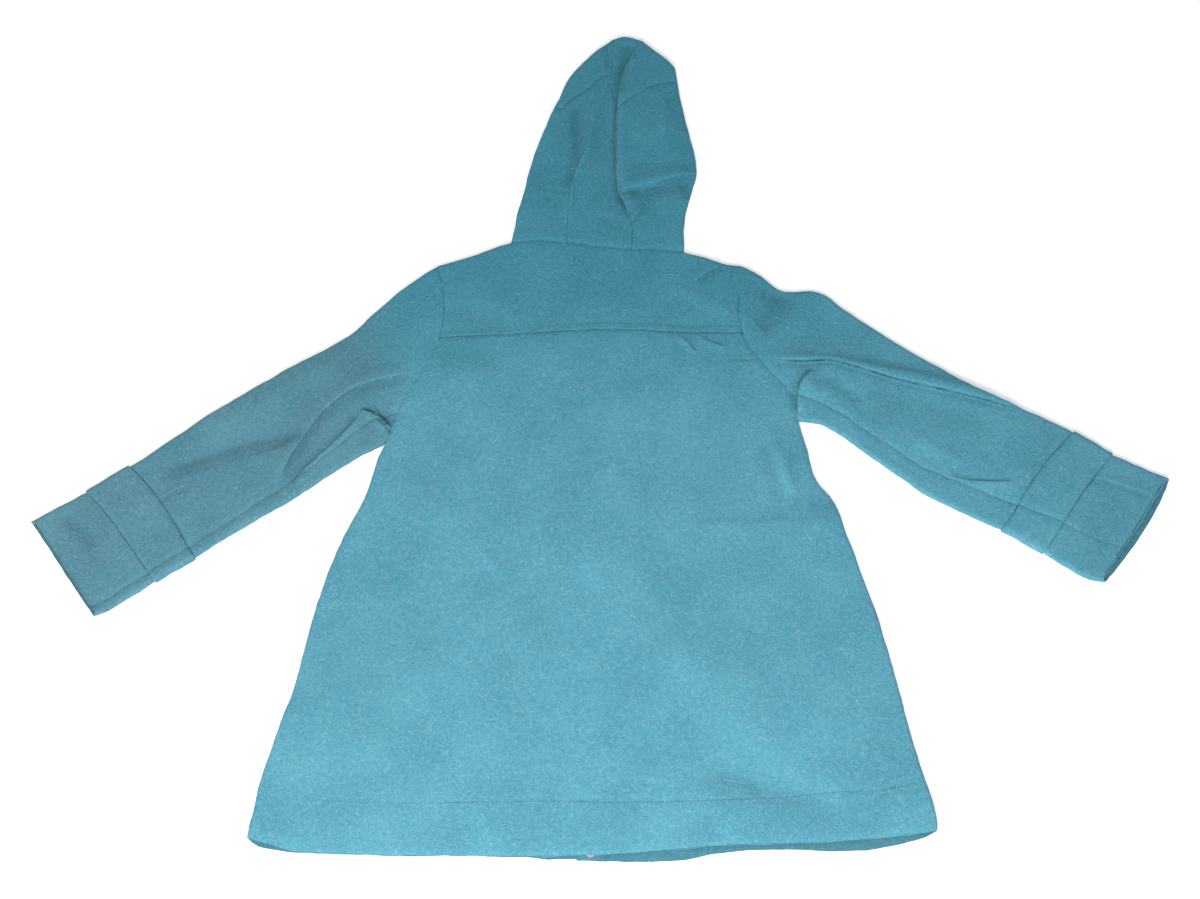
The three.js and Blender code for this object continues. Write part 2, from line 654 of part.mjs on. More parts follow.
function addSleeve(which) {
  const upperSeam = yokeRows + bladeRows;
  const upperLast = upperSeam + underarmRows;
  const [underSeam, underRest] = frontArmholeRows;
  const underLast = underSeam + underRest;
  const strapStart = sleeveRows;
  const strapEnd = sleeveRows + strapRows;
  const inStrap = (row) => !row.nearStrap && row.node >= strapStart && row.node <= strapEnd;
  const over = {
    closedSides: true,
    shortBy: cuffPeek,
    patch: sleevePatch(which, 'back', upperShares(which), upperSeam),
  };
  const under = {
    under: true,
    closedSides: true,
    patch: sleevePatch(which, 'front', underShares(which), underSeam),
    lift: (place, row) => (inStrap(row) ? strapRise : 0),
  };
  const rows = [
    ...nodeStops(0, strapStart - 1, { end: 'free' }),
    { node: strapStart, towards: -1, setBack: strapRamp, nearStrap: true },
    ...nodeStops(strapStart, strapEnd, { start: 'free', end: 'free' }),
    { node: strapEnd, towards: 1, setBack: strapRamp, nearStrap: true },
    ...nodeStops(strapEnd + 1, strapEnd + cuffRows, { start: 'free', end: 'open' }),
  ];
  const outer = [
    { layer: over, columns: nodeStops(0, upperSeam, { start: 'turn' }).reverse() },
    { layer: under, columns: nodeStops(0, underSeam, { start: 'turn' }).slice(1) },
  ];
  const inner = [
    { layer: over, columns: nodeStops(upperSeam, upperLast, { end: 'turn' }) },
    { layer: under, columns: nodeStops(underSeam, underLast, { end: 'turn' }).reverse().slice(1) },
  ];
  const strap = nodeStops(strapStart, strapEnd, { start: 'free', end: 'free' });
  addWall(`sleeve_${which}_upper`, rows, outer, colours.cloth);
  addWall(`sleeve_${which}_under`, rows, inner, colours.shadedCloth);
  addWall(`strap_${which}_upper`, strap, outer, colours.cloth, strapRise, seamGap);
  addWall(`strap_${which}_under`, strap, inner, colours.shadedCloth, strapRise, seamGap);
}

// Hood: a middle panel, two side panels that turn under at the outline, and a front band

const hoodRows = 10;
const hoodColumns = 2 * neckSpans;
const hoodBandColumns = 2;

function subdivide(nodes, parts) {
  return chain(...nodes.slice(1).map((end, k) => evenShares(parts).map((share) => nodes[k].clone().lerp(end, share))));
}

// The band's two edges. A short end joins them at the outline on the left.
const bandSeam = {
  left: nodesAlong(hoodFrontSeam.left, hoodColumns - 1),
  middle: nodesAlong(hoodFrontSeam.middle, hoodColumns),
  right: nodesAlong(hoodFrontSeam.right, hoodColumns),
};
const bandTop = {
  left: nodesAlong(hoodTop.left, hoodColumns - 1),
  middle: nodesAlong(hoodTop.middle, hoodColumns),
  right: nodesAlong(hoodTop.right, hoodColumns),
};

function addHoodSide(which) {
  const [neck, order] = which === 'left' ? [neckNodes[0], 1] : [neckNodes[2].slice().reverse(), -1];
  const band = order > 0 ? [bandTop.left[0], ...bandSeam.left] : bandSeam.right.slice().reverse();
  const frontNodes = order > 0 ? frontNeckNodes.left : frontNeckNodes.right.slice().reverse();
  const [lastWhole, frontCorner] = frontNodes.slice(-2);
  const reach = (hoodOpening[which][0].x - lastWhole.x) / (frontCorner.x - lastWhole.x);
  const flapNeck = [...frontNodes.slice(0, -1), lastWhole.clone().lerp(frontCorner, reach)];
  const outline = nodesAlong(hoodEdge[which], hoodRows);
  const opening = nodesAlong([flapNeck[frontNeckSpans], ...hoodOpening[which].slice(1)], hoodRows);
  const over = {
    closedSides: true,
    patch: patchBetween({
      first: subdivide(neck, 2),
      last: band,
      start: outline,
      end: nodesAlong(hoodSeam[which], hoodRows),
    }),
  };
  const under = {
    under: true,
    closedSides: true,
    patch: patchBetween({
      first: flapNeck,
      last: subdivide([outline[hoodRows], opening[hoodRows]], frontNeckSpans),
      start: outline,
      end: opening,
    }),
  };
  const strips = [
    { layer: over, columns: nodeStops(0, hoodColumns, { start: 'turn' }).reverse() },
    { layer: under, columns: nodeStops(0, frontNeckSpans, { start: 'turn', end: 'free' }).slice(1) },
  ];
  const rows = [{ node: 0, towards: 1, setBack: seamGap }, ...nodeStops(1, hoodRows, { start: 'free' })];
  addWall(`hood_side_${which}`, rows, strips, colours.shadedCloth);
}

function addHoodMiddle() {
  const layer = {
    patch: patchBetween({
      first: subdivide(neckNodes[1], 2),
      last: bandSeam.middle,
      start: nodesAlong(hoodSeam.left, hoodRows),
      end: nodesAlong(hoodSeam.right, hoodRows),
    }),
  };
  addWall('hood_middle', nodeStops(0, hoodRows), [{ layer, columns: nodeStops(0, hoodColumns) }], colours.cloth);
}

function addHoodBand() {
  const seam = chain(bandSeam.left, bandSeam.middle, bandSeam.right);
  const top = chain(bandTop.left, bandTop.middle, bandTop.right);
  const last = seam.length - 1;
  const patch = patchBetween({
    first: subdivide([seam[0], top[0]], hoodBandColumns),
    last: subdivide([seam[last], top[last]], hoodBandColumns),
    start: seam,
    end: top,
  });
  const strips = [
    {
      layer: { closedSides: true, patch },
      columns: [
        { node: 0, towards: 1, setBack: seamGap },
        ...nodeStops(1, hoodBandColumns, { start: 'free', end: 'turn' }),
      ],
    },
    {
      layer: { under: true, closedSides: true, patch },
      columns: nodeStops(1, hoodBandColumns, { start: 'free', end: 'turn' }).reverse().slice(1),
    },
  ];
  addWall('hood_band', nodeStops(0, last, { end: 'turn' }), strips, colours.shadedCloth);
}

// Press studs on the inner side of the lap

function addStuds() {
  const radius = studDiameter / 2;
  const seat = 2 * (clothThickness + layerGap);
  const profile = [
    [0, 0], [radius, 0], [studTopShare * radius, studThickness], [0, studThickness],
  ].map(([across, up]) => new THREE.Vector2(across, up));
  for (let k = 0; k < studCount; k += 1) {
    const y = frontHem.left[4].y + studHemInset + k * studSpacing;
    const geometry = new THREE.LatheGeometry(profile, studSides);
    geometry.rotateX(Math.PI / 2);
    geometry.translate(centreFront(y), y, seat);
    addMesh(`stud_${k + 1}`, geometry, colours.metal, metalFinish);
  }
}

addBack();
addYoke();
addFronts();
addSleeve('left');
addSleeve('right');
addHoodSide('left');
addHoodSide('right');
addHoodMiddle();
addHoodBand();
addStuds();
garment.position.y = middleShift;

export default garment;
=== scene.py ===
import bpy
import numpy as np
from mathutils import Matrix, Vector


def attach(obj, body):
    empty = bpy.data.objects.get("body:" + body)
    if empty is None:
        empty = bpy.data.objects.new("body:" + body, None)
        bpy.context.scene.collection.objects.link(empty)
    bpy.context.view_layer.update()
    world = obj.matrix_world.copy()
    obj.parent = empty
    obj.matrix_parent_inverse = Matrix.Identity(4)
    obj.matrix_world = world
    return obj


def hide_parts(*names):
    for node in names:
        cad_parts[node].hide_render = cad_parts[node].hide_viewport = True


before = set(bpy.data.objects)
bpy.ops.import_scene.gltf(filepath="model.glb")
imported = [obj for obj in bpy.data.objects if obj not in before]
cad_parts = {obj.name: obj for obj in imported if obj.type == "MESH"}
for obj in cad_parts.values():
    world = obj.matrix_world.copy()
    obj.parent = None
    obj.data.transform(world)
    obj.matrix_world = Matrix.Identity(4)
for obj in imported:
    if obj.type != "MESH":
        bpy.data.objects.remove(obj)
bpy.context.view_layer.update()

# A hooded, felted fleece jacket laid flat, face down and back up, on a pale floor. Every cloth
# panel is made again here as a finer wall on the solids' own plan lines, with its creases, seams,
# hems and stitches. Tables and sizes are in millimetres, meshes in metres.

# Driving sizes

MM = 0.001
CLOTH = 3.0
SEAM_GAP = 0.3
LAYER_GAP = 0.3
AIR_BETWEEN_LAYERS = 3.6
RESTING = 2 * CLOTH + AIR_BETWEEN_LAYERS
EDGE_RADIUS = RESTING / 2
LAP_WIDTH = 28.0
LAP_RAMP = 12.0
LAP_CROWN = 2.4
LAP_CROWN_REACH = 75.0
LAP_STACK_REACH = 48.0
STRAP_THICKNESS = 2.0
STRAP_RISE = STRAP_THICKNESS + SEAM_GAP
STRAP_CLEARANCE = 0.5
STRAP_RAMP = 0.011
STUD_THICKNESS = 1.5
CUFF_PEEK = 4.0
CUFF_BOW = {"left": (0, 0, 0), "right": (0, 2, 6)}
CUFF_BOW_REACH = 0.12
STEP_WIDTH = 3.0
STEP_DROP = 0.35
STEP_CREST_TONE = 0.3
SOFT_TONE = 0.8
FULL_TONE_RISE = 3.0
WIDEST_TONED_REACH = 11.0
HEM_STITCH = [(-330, -484), (-239, -487), (-63, -486), (16, -487), (101, -485), (196, -481), (239, -477),
              (292, -474), (333, -466)]
YOKE_STITCH_ABOVE = 8.0
HEM_STITCH_DIP = (0.8, 2.2)
YOKE_STITCH_DIP = (0.7, 1.8)
LEAST_SQUARENESS = 0.5
MIDDLE_SHIFT = 2.9

# How unevenly the upper layer lies: height and size of the lumps, and their seed
UNEVENNESS = [(0.45, 46, 5), (0.25, 17, 9), (0.1, 8, 13)]

# Steps and ends as shares of a length
SMALL_SHARE = 0.004
CREASE_END = 0.16
SHADOW_LINE_END = 0.14

# Fineness of the walls, and their edges: distances in from an edge
SPACING = {"back": 3.6, "yoke": 2.8, "sleeve": 2.4, "hood": 2.0, "hidden": 5.0}
TURN_ANGLES = np.radians([0, 15, 30, 45, 60, 75, 90])
EDGE_STEPS = {
    "turn": TURN_ANGLES,
    "seam": np.array([SEAM_GAP / 2, 0.9, 1.9, 3.2, 5.0]),
    "wide seam": np.array([SEAM_GAP, 0.9, 1.9, 3.2, 5.0]),
    "flat seam": np.array([SEAM_GAP / 2, 0.9, 1.9, 3.2, 5.0]),
    "lap": np.array([SEAM_GAP / 2, 0.6, 1.6, 3.2, 5.0]),
    "free": np.array([0.0, 0.5, 1.4]),
    "open": np.array([0.0, 0.5, 1.4]),
}
EDGE_LIPS = {"turn": (-1.1, 3.2), "seam": (-1.1, 3.2), "wide seam": (-1.1, 3.2), "free": (-0.9, 1.6),
             "open": (-0.8, 1.2), "flat seam": (-0.3, 2.0), "lap": (0.9, 7.0)}
EDGE_CLEARANCE = {"turn": 7.5, "seam": 7.5, "wide seam": 7.5, "free": 3.0, "open": 3.0,
                  "flat seam": 7.5, "lap": 7.5}
LARGEST_EDGE_SHARE = 0.43

# Plan outlines, one (x, y) for each point where the line bends

ARMHOLE = {
    "left": [(-208, 179), (-200, 148), (-196, 115), (-200, 76), (-215, 38), (-232, 4), (-245, -24),
             (-256, -64)],
    "right": [(173, 178), (167, 145), (165, 112), (169, 84), (187, 46), (212, 14), (224, -4), (229, -35)],
}
SIDE = {
    "left": [(-256, -64), (-265, -88), (-275, -127), (-301, -189), (-322, -261), (-339, -354), (-360, -432),
             (-373, -500), (-375, -524)],
    "right": [(229, -35), (238, -73), (246, -112), (265, -139), (280, -189), (300, -260), (320, -353),
              (337, -442), (350, -500), (350, -516)],
}
SLEEVE_TOP = {
    "left": [(-208, 179), (-252, 142), (-316, 76), (-385, 31), (-475, -32), (-555, -96), (-600, -128),
             (-631, -148), (-659, -165)],
    "right": [(173, 178), (194, 164), (221, 142), (262, 141), (303, 109), (361, 65), (446, 8), (554, -52),
              (596, -80), (659, -112)],
}
SLEEVE_BOTTOM = {
    "left": [(-256, -64), (-304, -94), (-370, -143), (-429, -181), (-466, -208), (-508, -237), (-554, -271),
             (-572, -279)],
    "right": [(229, -35), (262, -43), (318, -87), (372, -130), (455, -175), (500, -203), (544, -234),
              (565, -239)],
}
YOKE_SEAM = [(-200, 76), (-109, 81), (18, 86), (110, 83), (169, 84)]
SHOULDER = {
    "left": [(-208, 179), (-173, 190), (-130, 207), (-117, 212)],
    "right": [(100, 199), (128, 190), (151, 181), (173, 178)],
}
BACK_NECK = [(-117, 212), (-83, 215), (-47, 212), (0, 206), (35, 203), (100, 199)]
FRONT_NECK = {
    "left": [(-117, 212), (-98, 188), (-62, 152), (5, 132)],
    "right": [(-23, 132), (46, 144), (80, 172), (100, 199)],
}
FRONT_EDGE = {"left": [(5, 132), (-1, -546)], "right": [(-23, 132), (-29, -546)]}
BACK_HEM = [(-375, -524), (-320, -537), (-162, -542), (0, -541), (130, -531), (248, -527), (325, -519),
            (350, -516)]
FRONT_HEM = {
    "left": [(-375, -524), (-362, -532), (-250, -539), (-100, -542), (-1, -546)],
    "right": [(-29, -546), (60, -547), (147, -535), (279, -534), (335, -522), (350, -516)],
}
HOOD_EDGE = {
    "left": [(-117, 212), (-108, 265), (-94, 331), (-78, 386), (-66, 422)],
    "right": [(100, 199), (103, 250), (110, 283), (120, 320), (113, 368), (103, 420), (98, 463)],
}
HOOD_SEAM = {
    "left": [(-47, 212), (-44, 268), (-38, 310), (-24, 350), (-17, 392), (-12, 420), (-2, 448), (4, 474)],
    "right": [(35, 203), (34, 243), (23, 275), (17, 300), (16, 352), (17, 418)],
}
BAND_SEAM = {
    "left": [(-55, 419), (-42, 434), (-24, 449), (-10, 463), (4, 474)],
    "middle": [(4, 474), (11, 446), (17, 418)],
    "right": [(17, 418), (40, 440), (64, 457), (98, 463)],
}
BAND_TOP = {
    "left": [(-66, 422), (-45, 472), (-15, 511), (10, 534)],
    "middle": [(10, 534), (30, 541), (51, 533)],
    "right": [(51, 533), (71, 515), (85, 501), (95, 488)],
}
HOOD_OPENING = {
    "left": [(-14, 134), (-28, 230), (-42, 330), (-47, 402)],
    "right": [(-6, 134), (30, 230), (50, 330), (62, 440)],
}
STRAP_EDGES = {
    "left": {"upper": [(-555, -96), (-600, -128)], "lower": [(-466, -208), (-508, -237)]},
    "right": {"upper": [(554, -52), (596, -80)], "lower": [(455, -175), (500, -203)]},
}

# Where the sleeve seams run: share of the way to the cuff, back seam and hidden front seam as
# shares of the width from the upper outline
SLEEVE_SEAMS = {
    "left": [(0, 0.845, 0.8), (0.1, 0.79, 0.8), (0.3, 0.86, 0.8), (0.6, 0.905, 0.8), (1, 0.92, 0.78)],
    "right": [(0, 0.85, 0.8), (0.2, 0.86, 0.8), (0.45, 0.83, 0.8), (0.7, 0.77, 0.78), (1, 0.67, 0.75)],
}

# Folds of the upper layer, as in the solids: name, from, via, to, rise, reach to the left and to
# the right of that way
FOLDS = [
    ("right sleeve tuck", (186, 44), (310, 33), (500, -18), 5, 9, 30),
    ("right sleeve cap", (230, 138), (208, 118), (190, 90), -3, 14, 14),
    ("right underarm pinch", (236, 20), (248, 8), (262, 4), 4, 10, 14),
    ("right sleeve swell", (300, -25), (400, -75), (470, -110), 2.5, 40, 25),
    ("left sleeve fold", (-236, 36), (-318, -6), (-374, -104), 4, 18, 26),
    ("left sleeve hollow", (-340, -40), (-440, -78), (-556, -130), -2.6, 26, 26),
    ("left sleeve swell", (-300, 60), (-400, -20), (-520, -95), 2.5, 30, 30),
    ("left underarm", (-250, -30), (-268, -28), (-292, -30), -2.4, 10, 12),
    ("right side fold", (200, -60), (208, -95), (218, -140), 3, 12, 20),
    ("right side bulge", (222, -158), (250, -160), (284, -166), 4, 14, 30),
    ("back sweep", (30, -205), (120, -355), (300, -490), 2.5, 60, 60),
    ("left back swell", (-150, 40), (-190, -150), (-260, -400), 1.8, 55, 70),
    ("left hem lift", (-300, -540), (-345, -530), (-385, -500), 3, 30, 40),
    ("hood seam ridge", (6, 520), (-17, 390), (-47, 262), 3.5, 9, 9),
    ("hood tuck", (42, 528), (12, 400), (34, 246), -4, 6, 24),
    ("hood left swell", (-50, 430), (-66, 350), (-80, 260), 3, 24, 24),
    ("hood right swell", (60, 440), (74, 370), (76, 320), 4.5, 30, 26),
    ("hood cross crease", (26, 290), (58, 292), (96, 302), -3, 9, 12),
    ("nape pinch", (34, 249), (44, 256), (54, 268), 2.5, 8, 9),
]

# Creases too fine for the solids: name, kind, path, rise, reach to the left and to the right of the
# path, and how deep the nap is pressed along it, which also sets how dark a painted shadow line is there.
# Rise and reaches also set each crease's painted shade and highlight. A step is high on its left and drops at
# the path, as where one fold lies on another.
CREASES = [
    ("right sleeve overlap", "step", [(180, 50), (212, 43), (236, 40), (272, 41), (302, 32), (354, 14),
                                      (413, -1), (471, -17), (506, -29)], 4.2, 26, 6, 0.8),
    ("right underarm fold", "step", [(252, 32), (241, 22), (234, 12), (230, -2), (229, -28)], 3.0, 9, 7, 0.6),
    ("right cap hollow", "soft", [(224, 140), (214, 124), (200, 104), (186, 92)], -4.6, 13, 9, 0),
    ("right cap side", "soft", [(196, 148), (204, 132), (214, 122)], -2.2, 9, 9, 0),
    ("right strap crease", "step", [(478, -115), (450, -116), (425, -114), (400, -108)], 1.8, 10, 5, 0.4),
    ("right cuff crease", "step", [(552, -111), (587, -117), (612, -126), (634, -134)], 1.6, 9, 6, 0.35),
    ("right sleeve pucker", "soft", [(262, 22), (285, 6), (305, -16)], -1.6, 8, 9, 0),
    ("right elbow ripple", "soft", [(360, -60), (392, -78), (420, -98)], 1.5, 9, 12, 0),
    ("right sleeve long hollow", "soft", [(300, 16), (380, -14), (468, -48)], -1.4, 14, 18, 0),
    ("left sleeve crease", "step", [(-378, -122), (-367, -89), (-357, -69), (-345, -47), (-326, -21),
                                    (-292, 6), (-257, 18), (-222, 28)], 3.4, 15, 10, 0.42),
    ("left sleeve long fold", "soft", [(-345, -47), (-372, -60), (-427, -76), (-472, -92), (-520, -110)],
     -3.6, 7, 11, 0),
    ("left sleeve upper swell", "soft", [(-300, 52), (-380, 0), (-470, -58)], 1.6, 16, 20, 0),
    ("left underarm fold", "step", [(-251, -47), (-259, -37), (-272, -27), (-291, -21)], 3.6, 10, 7, 0.85),
    ("left underarm second fold", "step", [(-250, -57), (-260, -45), (-271, -34)], 1.8, 6, 5, 0.5),
    ("left underarm seam fold", "step", [(-289, -22), (-300, -43), (-317, -63), (-336, -85), (-349, -99),
                                         (-366, -122)], 2.4, 12, 8, 0.5),
    ("left strap wrinkle", "step", [(-516, -141), (-497, -127), (-478, -120)], 1.6, 5, 6, 0.25),
    ("left cuff crease", "soft", [(-622, -157), (-600, -177), (-578, -197)], -1.8, 8, 8, 0),
    ("hood seam ridge crest", "soft", [(7, 498), (6, 478), (0, 449), (-11, 422), (-16, 392), (-23, 350),
                                       (-37, 310), (-42, 283), (-45, 240)], 3.6, 2.8, 2.4, 0),
    ("hood seam trough", "soft", [(-34, 438), (-38, 410), (-38, 384), (-36, 352), (-42, 322), (-46, 290)],
     -2.6, 9, 5, 0),
    ("hood crown crease", "step", [(4, 529), (5, 510), (7, 490), (8, 476)], 1.8, 5, 6, 0.3),
    ("hood crown hollow", "soft", [(32, 532), (24, 490), (18, 440)], -3.4, 9, 7, 0),
    ("hood overlap", "step", [(42, 534), (36, 508), (26, 487), (19, 457), (17, 416), (16, 352), (17, 293),
                              (23, 275), (34, 243), (37, 238)], 3.6, 14, 5, 0.6),
    ("hood tuck end", "step", [(33, 240), (44, 254), (54, 268)], 1.8, 6, 7, 0.35),
    ("hood cross fold", "step", [(20, 290), (52, 296), (78, 304), (114, 316)], 3.6, 16, 12, 0.16),
    ("hood facet", "soft", [(100, 304), (106, 290), (108, 276)], -2.4, 6, 9, 0),
    ("hood pleat", "soft", [(70, 452), (78, 410), (76, 370)], 1.2, 6, 9, 0),
    ("hood left pleat", "soft", [(-62, 430), (-72, 380), (-82, 320)], 1.0, 9, 10, 0),
    ("hood nape crease", "soft", [(15, 232), (8, 240), (-4, 252)], -0.7, 5, 6, 0),
    ("shoulder crease", "step", [(113, 154), (134, 170), (149, 178)], 2.2, 9, 7, 0.4),
    ("yoke slant crease", "soft", [(75, 149), (118, 131), (162, 106)], 0.9, 7, 10, 0),
    ("yoke armhole crease", "step", [(148, 124), (156, 114), (163, 102)], 1.6, 5, 5, 0.3),
    ("yoke left hollow", "soft", [(-195, 120), (-150, 104), (-112, 96)], -1.4, 16, 18, 0),
    ("blade crease", "step", [(112, 54), (104, 66), (92, 79)], 1.4, 7, 6, 0.16),
    ("blade side crease", "step", [(150, 62), (136, 67), (115, 77)], 1.4, 8, 6, 0.16),
    ("blade left hollow", "soft", [(-208, 62), (-160, 50), (-118, 44)], -1.4, 18, 20, 0),
    ("side fold", "soft", [(202, -66), (208, -101), (216, -136)], 1.5, 7, 9, 0),
    ("side fold hollow", "soft", [(190, -62), (196, -101), (203, -138)], -1.2, 7, 9, 0),
    ("pocket ridge", "step", [(292, -166), (250, -166), (190, -164), (90, -167)], 1.0, 26, 16, 0),
    ("back streak", "soft", [(-140, -204), (-126, -222), (-112, -238)], 1.2, 6, 8, 0),
    ("back second streak", "soft", [(-24, -214), (-14, -232), (-6, -252)], 1.0, 7, 9, 0),
    ("back low sweep", "soft", [(60, -300), (140, -400), (210, -462), (280, -492)], 2.2, 22, 28, 0),
    ("back low hollow", "soft", [(98, -444), (144, -466), (210, -480), (262, -503)], -2.6, 14, 20, 0),
    ("left low hollow", "soft", [(-270, -250), (-250, -340), (-262, -430)], -1.5, 30, 40, 0),
    ("middle swell", "soft", [(-90, -120), (-20, -230), (40, -330)], 1.4, 40, 50, 0),
    ("hem right ripple", "soft", [(120, -520), (142, -500), (156, -470)], 1.6, 14, 18, 0),
    ("hem left ripple", "soft", [(-120, -534), (-130, -500), (-128, -470)], 1.2, 16, 18, 0),
]

# Shallow soft creases of the lower layer, hidden under the jacket: name, path, rise and reaches. The
# layer rests on the floor, so they only rise.
HIDDEN_CREASES = [
    ("left front underarm pinch", [(-240, -40), (-220, -18), (-190, 2)], 1.3, 6, 9),
    ("left front second pinch", [(-250, -84), (-226, -70), (-196, -66)], 1.0, 6, 8),
    ("left front long sweep", [(-236, -130), (-216, -260), (-228, -400), (-262, -490)], 1.4, 14, 22),
    ("left front low ripple", [(-150, -530), (-162, -480), (-158, -420)], 1.2, 10, 14),
    ("left front shoulder crease", [(-176, 168), (-150, 140), (-138, 104)], 1.2, 7, 10),
    ("right front underarm pinch", [(216, -20), (200, 4), (172, 16)], 1.4, 7, 9),
    ("right front second pinch", [(226, -62), (204, -50), (184, -52)], 1.0, 6, 7),
    ("right front pocket crease", [(258, -176), (214, -166), (150, -172)], 1.2, 9, 14),
    ("right front long sweep", [(206, -110), (196, -230), (226, -360), (276, -470)], 1.5, 12, 20),
    ("right front low ripple", [(120, -516), (138, -470), (134, -430)], 1.0, 9, 13),
    ("right front shoulder crease", [(118, 170), (126, 132), (112, 92)], 1.1, 7, 9),
    ("left sleeve elbow crease", [(-352, -96), (-368, -64), (-362, -26)], 1.5, 7, 10),
    ("left sleeve elbow second crease", [(-392, -120), (-404, -86), (-398, -56)], 1.1, 7, 9),
    ("left sleeve head crease", [(-232, 84), (-262, 58), (-300, 48)], 1.3, 8, 10),
    ("left sleeve long crease", [(-300, 10), (-390, -40), (-470, -96)], 1.2, 8, 12),
    ("right sleeve elbow crease", [(352, -92), (366, -58), (356, -22)], 1.4, 7, 11),
    ("right sleeve elbow second crease", [(402, -122), (412, -88), (404, -62)], 1.0, 7, 8),
    ("right sleeve head crease", [(206, 66), (236, 72), (272, 66)], 1.4, 8, 10),
    ("right sleeve long crease", [(276, 22), (340, -12), (420, -44), (486, -72)], 1.3, 9, 12),
    ("hood left tuck", [(-92, 250), (-74, 300), (-66, 350)], 1.3, 7, 9),
    ("hood right tuck", [(96, 262), (84, 310), (90, 352)], 1.4, 7, 10),
]


# Plan lines and the grids between them

class Line:
    """A smooth plan line through its points, read by the share of its length."""

    def __init__(self, points, samples=40):
        p = np.array(points, float)
        p = np.vstack([2 * p[0] - p[1], p, 2 * p[-1] - p[-2]])
        t = np.linspace(0, 1, samples, endpoint=False)[:, None]
        spans = []
        for a, b, c, d in zip(p[:-3], p[1:-2], p[2:-1], p[3:]):
            before, here, after = (np.hypot(*(q - r)) ** 0.5 for q, r in ((b, a), (c, b), (d, c)))
            leaving = ((b - a) / before - (c - a) / (before + here) + (c - b) / here) * here
            arriving = ((c - b) / here - (d - b) / (here + after) + (d - c) / after) * here
            spans.append((2 * t**3 - 3 * t**2 + 1) * b + (t**3 - 2 * t**2 + t) * leaving
                         + (3 * t**2 - 2 * t**3) * c + (t**3 - t**2) * arriving)
        self.points = np.vstack([*spans, p[-2:-1]])
        lengths = np.hypot(*np.diff(self.points, axis=0).T)
        self.length = lengths.sum()
        self.shares = np.concatenate([[0], np.cumsum(lengths)]) / self.length

    def at(self, share):
        return np.stack([np.interp(share, self.shares, self.points[:, k]) for k in (0, 1)], axis=-1)

    def nearest(self, point):
        return self.shares[np.argmin(np.hypot(*(self.points - np.array(point)).T))]


class Chain:
    """Parts of plan lines end to end. Each is (line, from share, to share, weight in the whole)."""

    def __init__(self, *parts):
        self.parts = parts
        knots = np.concatenate([[0], np.cumsum([part[3] for part in parts])])
        self.knots = knots / knots[-1]
        self.length = sum(line.length * abs(end - start) for line, start, end, _ in parts)

    def at(self, share):
        share = np.asarray(share, float)
        which = np.clip(np.searchsorted(self.knots, share, side="right") - 1, 0, len(self.parts) - 1)
        place = np.zeros(share.shape + (2,))
        for k, (line, start, end, _) in enumerate(self.parts):
            local = (share - self.knots[k]) / (self.knots[k + 1] - self.knots[k])
            place = np.where((which == k)[..., None], line.at(start + (end - start) * local), place)
        return place


def straight(start, end):
    return Line([start, end])


def between(first, last, start, end):
    """The plan between four lines: v runs from first to last, u from start to end."""
    low, high = first.at(np.array([0.0, 1.0])), last.at(np.array([0.0, 1.0]))

    def plan(v, u):
        v, u = np.clip(v, 0, 1), np.clip(u, 0, 1)
        across, down = u[..., None], v[..., None]
        corners = ((1 - down) * ((1 - across) * low[0] + across * low[1])
                   + down * ((1 - across) * high[0] + across * high[1]))
        return (first.at(u) * (1 - down) + last.at(u) * down
                + start.at(v) * (1 - across) + end.at(v) * across - corners)
    return plan


# Heights of the upper layer

def smoothstep(x, low, high):
    t = np.clip((x - low) / (high - low), 0, 1)
    return t * t * (3 - 2 * t)


def cloudy(x, y, size, seed):
    """Smooth noise from -1 to 1, with lumps of the given size."""
    lattice = np.random.default_rng(seed).uniform(-1, 1, (64, 64))
    column, row = x / size + 1000.5, y / size + 1000.5
    i, j = np.floor(column).astype(int), np.floor(row).astype(int)
    s, t = smoothstep(column - i, 0, 1), smoothstep(row - j, 0, 1)
    low = lattice[i % 64, j % 64] * (1 - s) + lattice[(i + 1) % 64, j % 64] * s
    high = lattice[i % 64, (j + 1) % 64] * (1 - s) + lattice[(i + 1) % 64, (j + 1) % 64] * s
    return low * (1 - t) + high * t


def near_path(path, x, y, widest):
    """Points near a path: which, how far from it (positive on its left) and at what share of its length."""
    low, high = path.min(axis=0) - widest, path.max(axis=0) + widest
    near = (x > low[0]) & (x < high[0]) & (y > low[1]) & (y < high[1])
    best = np.full(near.sum(), np.inf)
    signed, along = np.zeros_like(best), np.zeros_like(best)
    steps = np.hypot(*np.diff(path, axis=0).T)
    run = np.concatenate([[0], np.cumsum(steps)]) / steps.sum()
    for k, (start, end) in enumerate(zip(path[:-1], path[1:])):
        way = end - start
        if not way.any():
            continue
        dx, dy = x[near] - start[0], y[near] - start[1]
        t = np.clip((dx * way[0] + dy * way[1]) / (way @ way), 0, 1)
        distance = np.hypot(dx - t * way[0], dy - t * way[1])
        closer = distance < best
        best = np.where(closer, distance, best)
        signed = np.where(closer, distance * np.where(way[0] * dy - way[1] * dx > 0, 1, -1), signed)
        along = np.where(closer, run[k] + t * (run[k + 1] - run[k]), along)
    return near, signed, along


def fold_height(fold, x, y):
    """A fold of the solids, on a curve through its three points."""
    _, start, via, end, rise, left, right = fold
    start, via, end = np.array([start, via, end], float)
    t = np.linspace(0, 1, 25)[:, None]
    path = (1 - t) ** 2 * start + 2 * t * (1 - t) * (2 * via - (start + end) / 2) + t**2 * end
    near, signed, along = near_path(path, x, y, 3 * max(left, right))
    fade = np.sin(np.pi * np.clip(along, 0.08, 0.92)) ** 0.6
    height = np.zeros_like(x)
    height[near] = rise * fade * np.exp(-((signed / np.where(signed > 0, left, right)) ** 2))
    return height


def fading_ends(along, end):
    return smoothstep(along, 0, end) * smoothstep(1 - along, 0, end)


